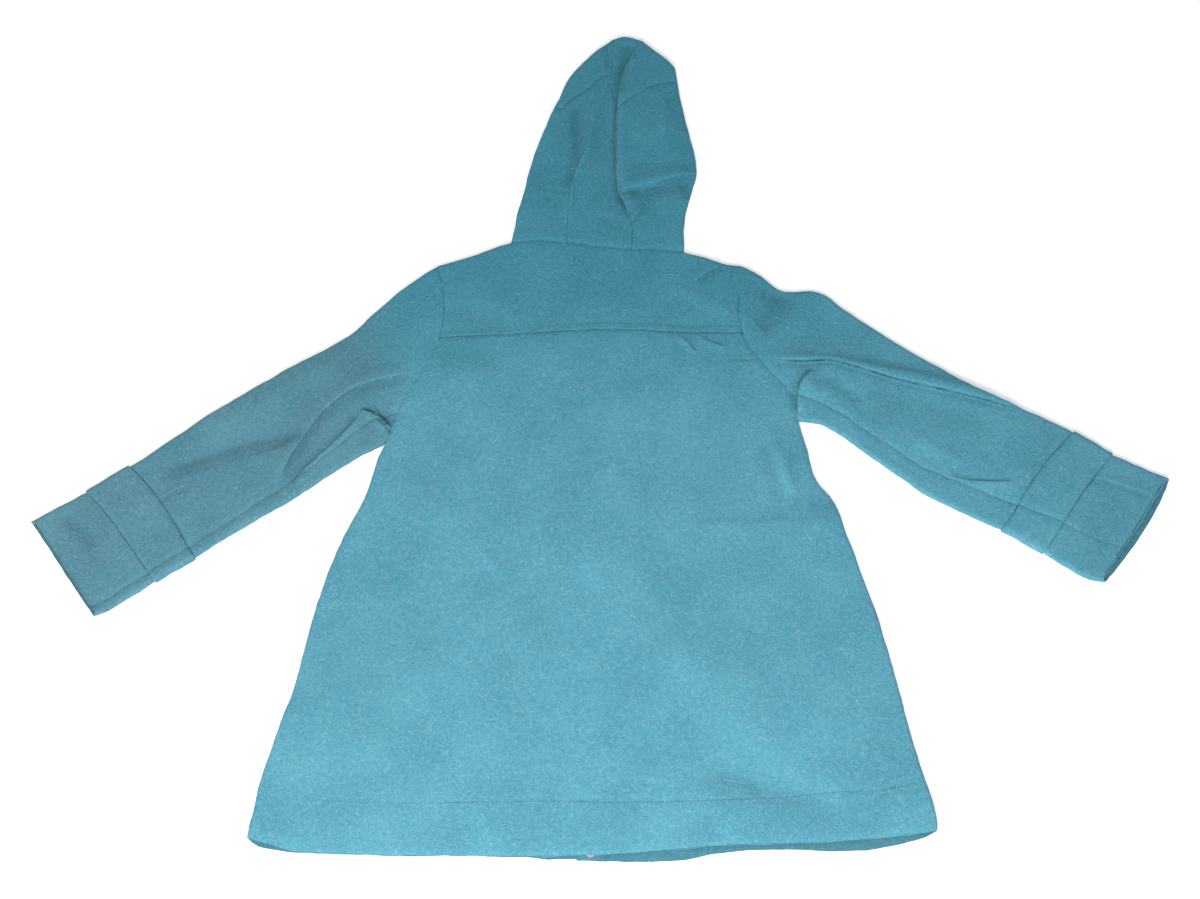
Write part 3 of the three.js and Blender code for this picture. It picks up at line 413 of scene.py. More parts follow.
def crease_parts(crease, x, y):
    """Points near a crease: which, how far up its step (1 on the high side), and how strong it is there."""
    _, _, points, _, left, right, _ = crease
    near, signed, along = near_path(Line(points, samples=6).points, x, y, 3 * max(left, right))
    fade = fading_ends(along, CREASE_END)
    strength = fade * np.exp(-((signed / np.where(signed > 0, left, right)) ** 2))
    return near, smoothstep(signed, -STEP_WIDTH / 2, STEP_WIDTH / 2), strength


def crease_height(crease, x, y):
    near, up, strength = crease_parts(crease, x, y)
    height = np.zeros_like(x)
    height[near] = crease[3] * strength * (up - STEP_DROP * (1 - up) if crease[1] == "step" else 1)
    return height


def fold_tone(x, y):
    """The painted shade and highlight of the folds, from -1 in a hollow or under a fold to 1 on a crest."""
    tone = np.zeros_like(x)
    for crease in CREASES:
        near, up, strength = crease_parts(crease, x, y)
        side = STEP_CREST_TONE * up - (1 - up) if crease[1] == "step" else SOFT_TONE * np.sign(crease[3])
        widest = max(crease[4:6])
        steep = np.clip(abs(crease[3]) / FULL_TONE_RISE, 0, 1) * min(1, WIDEST_TONED_REACH / widest)
        tone[near] += steep * strength * side
    return np.clip(tone, -1, 1)


def pressed_and_shadow_lines(x, y):
    """For each point, how far the nearest dark line is, signed, and how deep it is: painted shadow along folds
    and edges, on nap that is pressed there too.
    """
    far_off, widest = 20.0, 8
    nearest, depth = np.full_like(x, far_off), np.zeros_like(x)
    lines = [(Line(points, samples=6).points, cut) for _, _, points, _, _, _, cut in CREASES if cut]
    for path, cut in [*lines, *PRESSED_AND_SHADOWED_EDGES]:
        near, signed, along = near_path(path, x, y, widest)
        closer = np.abs(signed) < np.abs(nearest[near])
        fade = fading_ends(along, SHADOW_LINE_END)
        uneven = 0.75 + 0.5 * cloudy(x[near], y[near], 11, 51)
        present = cut * uneven * fade * (1 - smoothstep(np.abs(signed), 3, 5.5))
        nearest[near] = np.where(closer, signed, nearest[near])
        depth[near] = np.where(closer, present, depth[near])
    return nearest, depth


def wavering(x, y):
    """How far seams, folds and edges wander from their drawn lines, across and along the jacket."""
    across = 0.9 * cloudy(x, y, 24, 31) + 0.45 * cloudy(x, y, 9, 32)
    along = 0.9 * cloudy(x, y, 24, 33) + 0.45 * cloudy(x, y, 9, 34)
    return across, along


def seam_strength(x, y):
    """Seams lie flatter, and show less, at the nape, on the hood's left and on the right cuff."""
    above_neck = smoothstep(y + 0.11 * x, 207, 214)
    nape = 1 - 0.85 * (np.abs(x) < 60) * (1 - smoothstep(y, 222, 262)) * above_neck
    ridge = 1 - 0.8 * (x > -60) * (x < -8) * above_neck * (1 - smoothstep(y, 400, 415))
    crown = 1 - 0.9 * smoothstep(-x, 14, 34) * smoothstep(y, 400, 415)
    cuff = 1 - 0.6 * smoothstep(x, 505, 530)
    return nape * ridge * crown * cuff


def painted_falloff_shade(x, y):
    """Painted shade, where less light falls: how much darker the colour is made on the hood and shoulders,
    fading down the back.
    """
    return smoothstep(y, -70, 190) * (1 - 0.45 * smoothstep(np.abs(x), 230, 300))


def painted_grey_shade(x, y):
    """Painted shade: how much greyer and darker the colour is made on the left sleeve, and on both cuffs a
    little more.
    """
    left = smoothstep(-x - 0.35 * y, 200, 300) * (0.9 + 0.1 * smoothstep(-x, 520, 600))
    return np.maximum(left, 0.25 * smoothstep(x, 480, 580))


def shade_of_edges(x, y):
    """The shade of the back's hem and of the cuffs on the layer below, where it shows past them."""
    shade = np.zeros_like(x)
    for path in EDGES_ABOVE:
        near, signed, _ = near_path(path, x, y, 24)
        shade[near] = np.maximum(shade[near], 1 - smoothstep(np.abs(signed), 8, 24))
    return shade


def centre_front(y):
    (top_x, top_y), (low_x, low_y) = FRONT_EDGE["left"]
    return top_x + (low_x - top_x) * (top_y - y) / (top_y - low_y) - LAP_WIDTH / 2


def lap_share(x, y, reach, power):
    """How far a point lies inside the front lap's reach, from 1 on its middle line to 0."""
    below_neck = 1 - smoothstep(y, FRONT_NECK["left"][3][1] - 20, FRONT_NECK["left"][0][1] - 10)
    return below_neck * np.exp(-(np.abs((x - centre_front(y)) / reach) ** power))


def upper_height(x, y):
    lying = RESTING + LAP_CROWN * lap_share(x, y, LAP_CROWN_REACH, 4)
    lying = lying + sum(fold_height(fold, x, y) for fold in FOLDS)
    lying = lying + sum(crease_height(crease, x, y) for crease in CREASES)
    for height, size, seed in UNEVENNESS:
        lying = lying + height * cloudy(x, y, size, seed)
    stack = CLOTH + LAYER_GAP + STUD_THICKNESS + LAYER_GAP
    beneath = CLOTH + LAYER_GAP + stack * lap_share(x, y, LAP_STACK_REACH, 6)
    return np.maximum(lying, beneath + CLOTH)


def hidden_rise(x, y, lifted=0.0):
    """How far the lower layer lifts off the floor at its creases, no more than the air above it allows."""
    rise = sum(crease_height((name, "soft", *crease, 0), x, y) for name, *crease in HIDDEN_CREASES)
    air = upper_height(x, y) - 2 * CLOTH - 2 * LAYER_GAP - lifted
    return np.clip(rise * (1 - lap_share(x, y, LAP_STACK_REACH, 6)), 0, np.maximum(air, 0))


# Walls of cloth

class Stops:
    """Places across one way of a panel's grid: some set in from its two edges, the rest even between."""

    def __init__(self, count, start, end):
        low, high = EDGE_STEPS[start], EDGE_STEPS[end][::-1]
        even = np.arange(1, count) / count
        self.kinds = (start, end)
        self.share = np.concatenate([0 * low, even, 0 * high + 1])
        self.value = np.concatenate([low, 0 * even, high])
        self.side = np.concatenate([0 * low + 1, 0 * even, 0 * high - 1])

    def only(self, keep):
        """The same stops, cut or turned round by a slice."""
        part = Stops.__new__(Stops)
        part.kinds = self.kinds
        part.share, part.value, part.side = self.share[keep], self.value[keep], self.side[keep]
        return part


class Layer:
    """One layer of a panel: its plan, and what happens at its edges. Functions take v, u, x, y."""

    def __init__(self, plan, under=False, closed_sides=False, short_by=0.0, row_turning=None,
                 column_turning=None, lift=None, proud=None):
        self.plan = plan
        self.under = under
        self.closed_sides = closed_sides
        self.short_by = short_by
        self.row_turning = row_turning or (lambda v, u: np.ones_like(v))
        self.column_turning = column_turning or (lambda v, u: np.ones_like(v))
        self.lift = lift
        self.proud = proud

    def reach(self, v, u, way):
        """Millimetres that one share covers along a way, measured square to the other way."""
        v, u = np.clip(v, 0, 1), np.clip(u, 0, 1)
        ways = []
        for dv, du in ((0, SMALL_SHARE), (SMALL_SHARE, 0)):
            high = np.clip(v + dv, 0, 1), np.clip(u + du, 0, 1)
            low = np.clip(v - dv, 0, 1), np.clip(u - du, 0, 1)
            step = high[0] - low[0] + high[1] - low[1]
            ways.append((self.plan(*high) - self.plan(*low)) / step[..., None])
        along, side = ways if way == "u" else ways[::-1]
        length = np.maximum(np.hypot(along[..., 0], along[..., 1]), 1.0)
        width = np.maximum(np.hypot(side[..., 0], side[..., 1]), 1e-6)
        square = np.abs(along[..., 0] * side[..., 1] - along[..., 1] * side[..., 0]) / (length * width)
        return length * np.maximum(square, LEAST_SQUARENESS)

    def place(self, v, u):
        """The plan at shares that may lie a little outside its edges."""
        inside_v, inside_u = np.clip(v, 0, 1), np.clip(u, 0, 1)
        small = np.where(u < 0.5, SMALL_SHARE, -SMALL_SHARE)
        here = self.plan(inside_v, inside_u)
        slope = (self.plan(inside_v, inside_u + small) - here) / small[..., None]
        return here + slope * (u - inside_u)[..., None]

    def settle(self, stops, other, way, turning, offset, short_by):
        """The shares of one way's stops, and the millimetres from each to the two edges."""
        share, value, side = (part if way == "u" else part[:, None]
                              for part in (stops.share, stops.value, stops.side))
        edge = [np.zeros_like(other), np.ones_like(other)]
        reach = [self.reach(*((other, e) if way == "u" else (e, other)), way) for e in edge]
        kept = [np.minimum(EDGE_CLEARANCE[kind] / r, LARGEST_EDGE_SHARE)
                for kind, r in zip(stops.kinds, reach)]
        settled = kept[0] + share * (1 - kept[0] - kept[1])
        for kind, r, where in zip(stops.kinds, reach, (1, -1)):
            distance = value + 0 * r
            if kind == "turn":
                outside = EDGE_RADIUS * (1 - np.cos(value))
                turned = EDGE_RADIUS - (EDGE_RADIUS + offset) * np.cos(value)
                distance = turning * turned + (1 - turning) * np.maximum(outside, SEAM_GAP / 2)
            if kind == "open":
                distance = distance + short_by
            widest = max(EDGE_STEPS[kind].max() if kind != "turn" else EDGE_RADIUS, 0.1)
            distance = distance * np.minimum(1, LARGEST_EDGE_SHARE * r / widest) / r
            settled = np.where(side == where, distance if where > 0 else 1 - distance, settled)
        return settled, (settled * reach[0], (1 - settled) * reach[1])

    def points(self, rows, columns, offset, worn):
        """Points of the layer at an offset outwards from its outer face, with its edges worn or sharp."""
        v = rows.share[:, None] + 0 * columns.share
        u = columns.share + 0 * v
        for _ in range(2):
            row_turning, column_turning = self.row_turning(v, u), self.column_turning(v, u)
            round_u = self.rounding(columns, columns.value + 0 * v, columns.side + 0 * v, column_turning)
            round_v = self.rounding(rows, rows.value[:, None] + 0 * u, rows.side[:, None] + 0 * u, row_turning)
            next_u, from_sides = self.settle(columns, v, "u", column_turning, offset, 0)
            v, from_ends = self.settle(rows, u, "v", row_turning, offset, self.short_by * round_u)
            u = next_u
        place = self.place(v, u)
        across, along = wavering(place[..., 0], place[..., 1])
        x, y = place[..., 0] + across, place[..., 1] + along
        lip = (seam_strength(x, y) * self.lips(columns.kinds, from_sides, column_turning)
               + self.lips(rows.kinds, from_ends, row_turning))
        if self.proud:
            lip = lip + self.proud(v, u, x, y)
        lip = lip if worn else np.clip(lip, 0, None)
        rounding = round_u * round_v
        parting = SEAM_GAP / 2 * (1 - round_v * (1 if self.closed_sides else round_u))
        if self.under:
            lift = self.lift(v, u, x, y) if self.lift else 0.0
            lift = lift + hidden_rise(x, y, lift)
            z = EDGE_RADIUS - parting - (EDGE_RADIUS + offset + 0.5 * np.minimum(lip, 0) - lift) * rounding
        else:
            z = EDGE_RADIUS + parting + (upper_height(x, y) - EDGE_RADIUS + offset + lip) * rounding
        return np.stack([x, y + MIDDLE_SHIFT, z], -1)

    def rounding(self, stops, value, side, turning):
        turned = ((side > 0) & (stops.kinds[0] == "turn")) | ((side < 0) & (stops.kinds[1] == "turn"))
        return np.where(turned, 1 - turning * (1 - np.sin(value)), 1.0)

    def lips(self, kinds, distances, turning):
        """The outer face dips at a seam, and a cut or folded edge is worn round."""
        total = 0
        for kind, distance in zip(kinds, distances):
            depth, reach = EDGE_LIPS[kind]
            share = 1 - turning if kind == "turn" else 1
            total = total + share * depth * np.exp(-((distance / reach) ** 2))
        return total


def add_object(name, data):
    piece = bpy.data.objects.new(name, data)
    bpy.context.collection.objects.link(piece)
    return piece


def add_wall(name, rows, strips, outside=0.0, inside=-CLOTH):
    """A closed wall over one or two layers: each strip is a layer and the columns that it takes."""
    outer, inner = (np.concatenate([layer.points(rows, columns, *face) for layer, columns in strips], axis=1)
                    for face in ((outside, True), (inside, False)))
    n, m = outer.shape[:2]
    out = np.arange(n * m).reshape(n, m)
    far = out + n * m
    rim = np.concatenate([out[0, :], out[1:, -1], out[-1, -2::-1], out[-2:0:-1, 0]])
    after = np.roll(rim, -1)
    faces = np.concatenate([
        np.stack([out[:-1, :-1], out[:-1, 1:], out[1:, 1:], out[1:, :-1]], -1).reshape(-1, 4),
        np.stack([far[:-1, :-1], far[1:, :-1], far[1:, 1:], far[:-1, 1:]], -1).reshape(-1, 4),
        np.stack([after, rim, rim + n * m, after + n * m], -1),
    ])
    points = np.concatenate([outer.reshape(-1, 3), inner.reshape(-1, 3)])
    a, b, c, d = (points[faces[:, k]] for k in range(4))
    volume = np.einsum("ij,ij->", a, np.cross(b, c)) + np.einsum("ij,ij->", a, np.cross(c, d))
    mesh = bpy.data.meshes.new(name)
    mesh.from_pydata((points * MM).tolist(), [], (faces[:, ::-1] if volume < 0 else faces).tolist())
    mesh.shade_smooth()
    upper = np.concatenate([np.full(len(columns.share), not layer.under) for layer, columns in strips])
    x, y = outer[..., 0], outer[..., 1] - MIDDLE_SHIFT
    distance, depth = pressed_and_shadow_lines(x, y)
    # Painted shade on the lower layer: past the edges above it, and darker where its creases lift
    shaded = shade_of_edges(x, y) + hidden_rise(x, y) / FULL_TONE_RISE
    sleeve_grey_shade = painted_grey_shade(x, y) * ("sleeve" in name or "strap" in name)
    # What the material reads at each point: label, value outside, and how much of it counts inside
    for label, values, within in (("shadow_line_distance", distance, 1), ("pressed_and_shadow_depth", depth * upper, 0),
                                  ("painted_falloff_shade_share", painted_falloff_shade(x, y), 1), ("painted_grey_shade_share", sleeve_grey_shade, 1),
                                  ("fold_tone", fold_tone(x, y) * upper - shaded * (1 - upper), 1)):
        attribute = mesh.attributes.new(label, "FLOAT", "POINT")
        attribute.data.foreach_set("value", np.concatenate([values.ravel(), within * values.ravel()]))
    return add_object(name, mesh)


def count_for(length, kind):
    return max(2, round(length / SPACING[kind]))


# Lines that panels share

armhole, side, shoulder, front_neck, front_edge = (
    {which: Line(points) for which, points in table.items()}
    for table in (ARMHOLE, SIDE, SHOULDER, FRONT_NECK, FRONT_EDGE))
yoke_seam = Line(YOKE_SEAM)
back_neck = Line(BACK_NECK)
yoke_share = {"left": armhole["left"].nearest(YOKE_SEAM[0]), "right": armhole["right"].nearest(YOKE_SEAM[-1])}
neck_shares = [0, back_neck.nearest(HOOD_SEAM["left"][0]), back_neck.nearest(HOOD_SEAM["right"][0]), 1]

# Rows of the solids' grids, which share out the length of an edge: along the armhole, down the side,
# and along a sleeve above the strap, under it and below it
ARMHOLE_ROWS = (5, 2)
SIDE_ROWS = {"back": 12, "front": 8}
SLEEVE_ROWS = (11, 2, 2)

# Shares of a sleeve's length: the strap's edges, the painted shadow line by the cuff's edge, with the nap
# pressed there too, and that edge
STRAP_START, STRAP_END = 11 / 15, 13 / 15
CUFF_SHADOW_LINE, CUFF_END = 14.84 / 15, 14.9 / 15

# Ways to cut or turn round a row of stops
BACKWARDS, AFTER_FIRST = slice(None, None, -1), slice(1, None)


def body_edge(which, panel):
    """The edge of the back or a front, down the armhole and then down the side."""
    seam = SLEEVE_SEAMS[which][0][1 if panel == "back" else 2]
    start = yoke_share[which] if panel == "back" else 0
    return Chain((armhole[which], start, seam, ARMHOLE_ROWS[0]), (armhole[which], seam, 1, ARMHOLE_ROWS[1]),
                 (side[which], 0, 1, SIDE_ROWS[panel]))


def turns_below(panel):
    """An edge turns under at the outline only below the armhole."""
    at_armhole = sum(ARMHOLE_ROWS)
    rows = at_armhole + SIDE_ROWS[panel]
    return lambda v, u: np.clip(v * rows - at_armhole, 0, 1)


def hem_stitch_y(x):
    line = Line(HEM_STITCH).points
    return np.interp(x, line[:, 0], line[:, 1])


def yoke_stitch_y(x):
    return np.interp(x, yoke_seam.points[:, 0], yoke_seam.points[:, 1]) + YOKE_STITCH_ABOVE


# Cloth panels

def make_back():
    hem = Line(BACK_HEM)

    def stitched(v, u, x, y):
        depth, reach = HEM_STITCH_DIP
        return -depth * np.exp(-(((y - hem_stitch_y(x)) / reach) ** 2)) * smoothstep(x, -300, -60)

    plan = between(yoke_seam, hem, body_edge("left", "back"), body_edge("right", "back"))
    layer = Layer(plan, column_turning=turns_below("back"), proud=stitched)
    rows = Stops(count_for(640, "back"), "seam", "free")
    columns = Stops(count_for(hem.length, "back"), "turn", "turn")
    return add_wall("felted_back", rows, [(layer, columns)])


def make_yoke():
    shoulder_rows, neck_rows, all_rows = 4, 2, 14
    first = Chain((shoulder["left"], 0, 1, shoulder_rows),
                  *((back_neck, neck_shares[k], neck_shares[k + 1], neck_rows) for k in range(3)),
                  (shoulder["right"], 0, 1, shoulder_rows))
    armholes = [Chain((armhole[which], 0, yoke_share[which], 5)) for which in ("left", "right")]
    neck_start, neck_end = shoulder_rows / all_rows, 1 - shoulder_rows / all_rows
    corner = [EDGE_RADIUS * (neck_rows / all_rows) / (back_neck.length * (neck_shares[k + 1] - neck_shares[k]))
              for k in (0, 2)]

    def row_turning(v, u):
        inside = np.minimum((u - neck_start) / corner[0], (neck_end - u) / corner[1])
        return 1 - np.clip(inside, 0, 1)

    def stitched(v, u, x, y):
        depth, reach = YOKE_STITCH_DIP
        return -depth * np.exp(-(((y - yoke_stitch_y(x)) / reach) ** 2))

    layer = Layer(between(first, yoke_seam, *armholes), row_turning=row_turning, proud=stitched)
    rows = Stops(count_for(120, "yoke"), "turn", "lap")
    columns = Stops(count_for(yoke_seam.length, "yoke"), "seam", "seam")
    return add_wall("felted_back_yoke", rows, [(layer, columns)])


def make_front(which):
    hem, outline, edge = Line(FRONT_HEM[which]), body_edge(which, "front"), front_edge[which]
    overlap = LAP_WIDTH + SEAM_GAP + 1
    shoulder_part, neck_part, corner_width = 2, 3, 0.02
    shoulder_share = shoulder_part / (shoulder_part + neck_part)

    def lift(v, u, x, y):
        from_edge = centre_front(y) + LAP_WIDTH / 2 - x
        return (CLOTH + LAYER_GAP) * (1 - smoothstep(from_edge, overlap, overlap + LAP_RAMP))

    def row_turning(v, u):
        past_shoulder = (u if which == "left" else 1 - u) - shoulder_share
        return np.clip(1 - past_shoulder / corner_width, 0, 1)

    top = [(shoulder[which], 0, 1, shoulder_part), (front_neck[which], 0, 1, neck_part)]
    sides, kinds = (outline, edge), ("turn", "free")
    if which == "right":
        top, sides, kinds = top[::-1], sides[::-1], kinds[::-1]
    layer = Layer(between(Chain(*top), hem, *sides), under=True, row_turning=row_turning,
                  column_turning=turns_below("front"), lift=lift if which == "left" else None)
    rows = Stops(count_for(720, "hidden"), "turn", "free")
    columns = Stops(count_for(hem.length, "hidden"), *kinds)
    return add_wall(f"felted_front_{which}", rows, [(layer, columns)])


def sleeve_outline(points, strap):
    line = Line(points)
    start, end = (line.nearest(point) for point in strap)
    ends = ((0, start), (start, end), (end, 1))
    return Chain(*((line, *stretch, weight) for stretch, weight in zip(ends, SLEEVE_ROWS)))


def sleeve_plan(which, seam, part):
    """A sleeve layer's plan on one side of its seam: u runs down to the seam, or on from it."""
    top = sleeve_outline(SLEEVE_TOP[which], STRAP_EDGES[which]["upper"])
    bottom = sleeve_outline(SLEEVE_BOTTOM[which], STRAP_EDGES[which]["lower"])
    table = np.array(SLEEVE_SEAMS[which])
    head = armhole[which]
    low, high = top.at(np.array(0.0)), bottom.at(np.array(0.0))
    outwards = top.at(np.array(1.0)) - top.at(np.array(14 / 15))
    outwards = outwards / np.hypot(*outwards)

    def plan(v, u):
        v, u = np.clip(v, 0, 1), np.clip(u, 0, 1)
        seam_here = np.interp(v, table[:, 0], table[:, seam])
        share = u * seam_here if part == "upper" else seam_here + u * (1 - seam_here)
        bow = head.at(share) - (low + (high - low) * share[..., None])
        near_cuff = np.clip((v - 1) / CUFF_BOW_REACH + 1, 0, None)
        bulge = 4 * share * (1 - share) * near_cuff**2 * CUFF_BOW[which][seam]
        return (top.at(v) * (1 - share[..., None]) + bottom.at(v) * share[..., None]
                + bow * (1 - v)[..., None] + outwards * bulge[..., None])
    return plan


def add_tube(name, part, rows, over, below, outside=0.0, inside=-CLOTH):
    """A wall round a sleeve's outline: the seen layer's columns, then the hidden layer's."""
    seen_width, hidden_width = (150, 140) if part == "upper" else (35, 45)
    seen, hidden = count_for(seen_width, "sleeve"), count_for(hidden_width, "hidden")
    if part == "upper":
        top = Stops(seen, "turn", "seam").only(BACKWARDS)
        low = Stops(hidden, "turn", "seam").only(AFTER_FIRST)
    else:
        top = Stops(seen, "seam", "turn")
        low = Stops(hidden, "seam", "turn").only(BACKWARDS).only(AFTER_FIRST)
    return add_wall(name, rows, [(over, top), (below, low)], outside, inside)


def make_sleeve(which):
    def lift(v, u, x, y):
        outside = np.maximum(STRAP_START - v, v - STRAP_END)
        return STRAP_RISE * (1 - np.clip(outside / STRAP_RAMP, 0, 1))

    rows = Stops(count_for(500, "sleeve"), "seam", "open")
    pieces = []
    for part in ("upper", "under"):
        over = Layer(sleeve_plan(which, 1, part), closed_sides=True, short_by=CUFF_PEEK)
        below = Layer(sleeve_plan(which, 2, part), under=True, closed_sides=True, lift=lift)
        pieces.append(add_tube(f"felted_sleeve_{which}_{part}", part, rows, over, below))
    return pieces


def make_straps(which):
    rows = Stops(count_for(55, "sleeve"), "free", "free")
    pieces = []
    for part in ("upper", "under"):
        over, below = (lambda v, u, plan=sleeve_plan(which, seam, part):
                       plan(STRAP_START + (STRAP_END - STRAP_START) * np.clip(v, 0, 1), u) for seam in (1, 2))
        over = Layer(over, closed_sides=True)
        below = Layer(below, under=True, closed_sides=True, lift=lambda v, u, x, y: STRAP_RISE)
        pieces.append(add_tube(f"felted_strap_{which}_{part}", part, rows, over, below, STRAP_RISE,
                               STRAP_CLEARANCE))
    return pieces


def across_sleeve(which, v, first, last):
    """Points across a sleeve at a share of its length, from one share of its width to another."""
    path = np.concatenate([sleeve_plan(which, 1, part)(np.full(12, v), np.linspace(0, 1, 12))
                           for part in ("upper", "under")])
    share = np.concatenate([np.linspace(0, 0.85, 12), np.linspace(0.86, 1, 12)])
    return path[(share >= first) & (share <= last)]


# Dark lines along straps, cuffs, the yoke and edges, and how deep each is: painted shadow at the edges, and nap
# pressed along them and along the yoke's stitching
PRESSED_AND_SHADOWED_EDGES = [
    (across_sleeve("left", STRAP_END, 0, 1), 0.75), (across_sleeve("left", STRAP_START, 0.6, 1), 0.3),
    (across_sleeve("right", STRAP_START, 0, 1), 0.4), (across_sleeve("right", STRAP_END, 0, 1), 0.6),
    (across_sleeve("right", CUFF_SHADOW_LINE, 0, 1), 0.9), (across_sleeve("left", CUFF_SHADOW_LINE, 0.5, 1), 0.25),
    (yoke_seam.at(np.linspace(0.36, 1, 40)) + (0, YOKE_STITCH_ABOVE), 0.3),
    (Line(BACK_HEM).points, 0.5), (Line(HOOD_EDGE["right"]).points, 0.4), (Line(BAND_TOP["right"]).points, 0.5),
]

# Edges of the upper layer that shade the lower one
EDGES_ABOVE = [Line(BACK_HEM).points, *(across_sleeve(which, CUFF_END, 0, 1) for which in ("right", "left"))]


def make_hood_side(which):
    index, order = (0, 1) if which == "left" else (2, -1)
    ends = (neck_shares[index], neck_shares[index + 1])[::order]
    outline, band = Line(HOOD_EDGE[which]), Line(BAND_SEAM[which])
    if which == "left":
        last = Chain((straight(BAND_TOP["left"][0], BAND_SEAM["left"][0]), 0, 1, 1), (band, 0, 1, 3))
        neck_line = front_neck["left"]
    else:
        last = Chain((band, 1, 0, 4))
        neck_line = Line(FRONT_NECK["right"][::-1])
    first = Chain((back_neck, *ends, 4))
    whole = neck_line.at(np.array([2 / 3, 1.0]))
    reach = (HOOD_OPENING[which][0][0] - whole[0, 0]) / (whole[1, 0] - whole[0, 0])
    corner = whole[0] + (whole[1] - whole[0]) * reach
    opening = Line([tuple(corner), *HOOD_OPENING[which][1:]])
    flap_neck = Chain((neck_line, 0, 2 / 3, 2), (straight(whole[0], corner), 0, 1, 1))
    flap_top = straight(outline.points[-1], opening.points[-1])
    over = Layer(between(first, last, outline, Line(HOOD_SEAM[which])), closed_sides=True)
    below = Layer(between(flap_neck, flap_top, outline, opening), under=True, closed_sides=True)
    rows = Stops(count_for(outline.length, "hood"), "wide seam", "seam")
    top = Stops(count_for(75, "hood"), "turn", "flat seam").only(BACKWARDS)
    low = Stops(count_for(110, "hidden"), "turn", "free").only(AFTER_FIRST)
    return add_wall(f"felted_hood_side_{which}", rows, [(over, top), (below, low)])


def make_hood_middle():
    first = Chain((back_neck, neck_shares[1], neck_shares[2], 4))
    layer = Layer(between(first, Line(BAND_SEAM["middle"]), Line(HOOD_SEAM["left"]), Line(HOOD_SEAM["right"])))
    rows = Stops(count_for(240, "hood"), "seam", "flat seam")
    columns = Stops(count_for(70, "hood"), "flat seam", "seam")
    return add_wall("felted_hood_middle", rows, [(layer, columns)])


def make_hood_band():
    weights = (("left", 3), ("middle", 4), ("right", 4))
    seam, top = (Chain(*((Line(table[part]), 0, 1, weight) for part, weight in weights))
                 for table in (BAND_SEAM, BAND_TOP))
    ends = [straight(BAND_SEAM[part][k], BAND_TOP[part][k]) for part, k in (("left", 0), ("right", -1))]
    plan = between(*ends, seam, top)
    over = Layer(plan, closed_sides=True)
    below = Layer(lambda v, u: plan(v, 0.5 + 0.5 * np.clip(u, 0, 1)), under=True, closed_sides=True)
    rows = Stops(count_for(300, "hood"), "seam", "turn")
    upper = Stops(count_for(75, "hood"), "wide seam", "turn")
    lower = Stops(count_for(35, "hidden"), "free", "turn").only(BACKWARDS).only(AFTER_FIRST)
    return add_wall("felted_hood_band", rows, [(over, upper), (below, lower)])


# The stage: camera at the photograph's angle, pale floor, soft light

CAMERA_PLACE, CAMERA_TARGET = (-0.005, -0.8157, 1.604), (-0.005, -0.0677, 0.0)
FLOOR_HALF_WIDTH = 6.0
SKY_COLOUR, SKY_STRENGTH = "#eff5f9", 0.44

# Lights, in metres and watts: name, place, target, width, power and colour
LIGHTS = [
    ("key_light", (-0.1, -1.5, 1.35), (0, -0.2, 0), 1.0, 35, "#fffaf5"),
    ("hem_light", (0.0, -1.25, 0.9), (0, -0.5, 0), 0.9, 7, "#ffe8d4"),
    ("left_light", (-1.5, -0.5, 0.9), (-0.5, -0.1, 0), 0.8, 8.5, "#ffdcc4"),
    ("fill_light", (1.2, 0.9, 1.9), (0, 0, 0), 1.6, 3.4, "#ffffff"),
]


def look_at(piece, place, target):
    piece.location = place
    piece.rotation_euler = (Vector(target) - piece.location).to_track_quat("-Z", "Y").to_euler()


def make_camera():
    camera = bpy.data.cameras.new("camera")
    camera.lens = 45.0
    camera.sensor_width = 36.0
    viewer = add_object("camera", camera)
    look_at(viewer, CAMERA_PLACE, CAMERA_TARGET)
    bpy.context.scene.camera = viewer


def make_stage():
    mesh = bpy.data.meshes.new("floor")
    half = FLOOR_HALF_WIDTH
    corners = [(-half, -half, 0), (half, -half, 0), (half, half, 0), (-half, half, 0)]
    mesh.from_pydata(corners, [], [(0, 1, 2, 3)])
    mesh.materials.append(matt_white_paper())
    add_object("floor", mesh)
    for name, place, target, width, power, tint in LIGHTS:
        light = bpy.data.lights.new(name, "AREA")
        light.shape = "DISK"
        light.size = width
        light.energy = power
        light.color = colour(tint)[:3]
        look_at(add_object(name, light), place, target)
    world = bpy.data.worlds.new("studio")
    bpy.context.scene.world = world
    world.use_nodes = True
    background = world.node_tree.nodes["Background"]
    background.inputs["Color"].default_value = colour(SKY_COLOUR)
    background.inputs["Strength"].default_value = SKY_STRENGTH
    bpy.context.scene.view_settings.view_transform = "Standard"


# Materials

def colour(text):
    """A linear colour from an sRGB hex value."""
    parts = [int(text[k:k + 2], 16) / 255 for k in (1, 3, 5)]
    return (*(c / 12.92 if c <= 0.04045 else ((c + 0.055) / 1.055) ** 2.4 for c in parts), 1.0)


def add_node(tree, kind, settings=None, inputs=None, links=None):
    """Adds a node. settings are its own, inputs are socket values, links are socket to output."""
    node = tree.nodes.new(kind)
    for name, value in (settings or {}).items():
        setattr(node, name, value)
    for name, value in (inputs or {}).items():
        node.inputs[name].default_value = value
    for name, output in (links or {}).items():
        tree.links.new(output, node.inputs[name])
    return node


def new_material(name, inputs):
    """A material whose surface has these inputs, with its node tree and the surface's shader."""
    material = bpy.data.materials.new(name)
    material.use_nodes = True
    shader = material.node_tree.nodes["Principled BSDF"]
    for socket, value in inputs.items():
        shader.inputs[socket].default_value = value
    return material, material.node_tree, shader


def matt_white_paper():
    """Seamless background paper: an even, matt, near-white ground, lit a little from behind."""
    return new_material("seamless_background_paper", {
        "Base Color": colour("#f7f8f8"), "Emission Color": colour("#ffffff"), "Emission Strength": 0.3,
        "Roughness": 0.9, "Specular IOR Level": 0.1})[0]


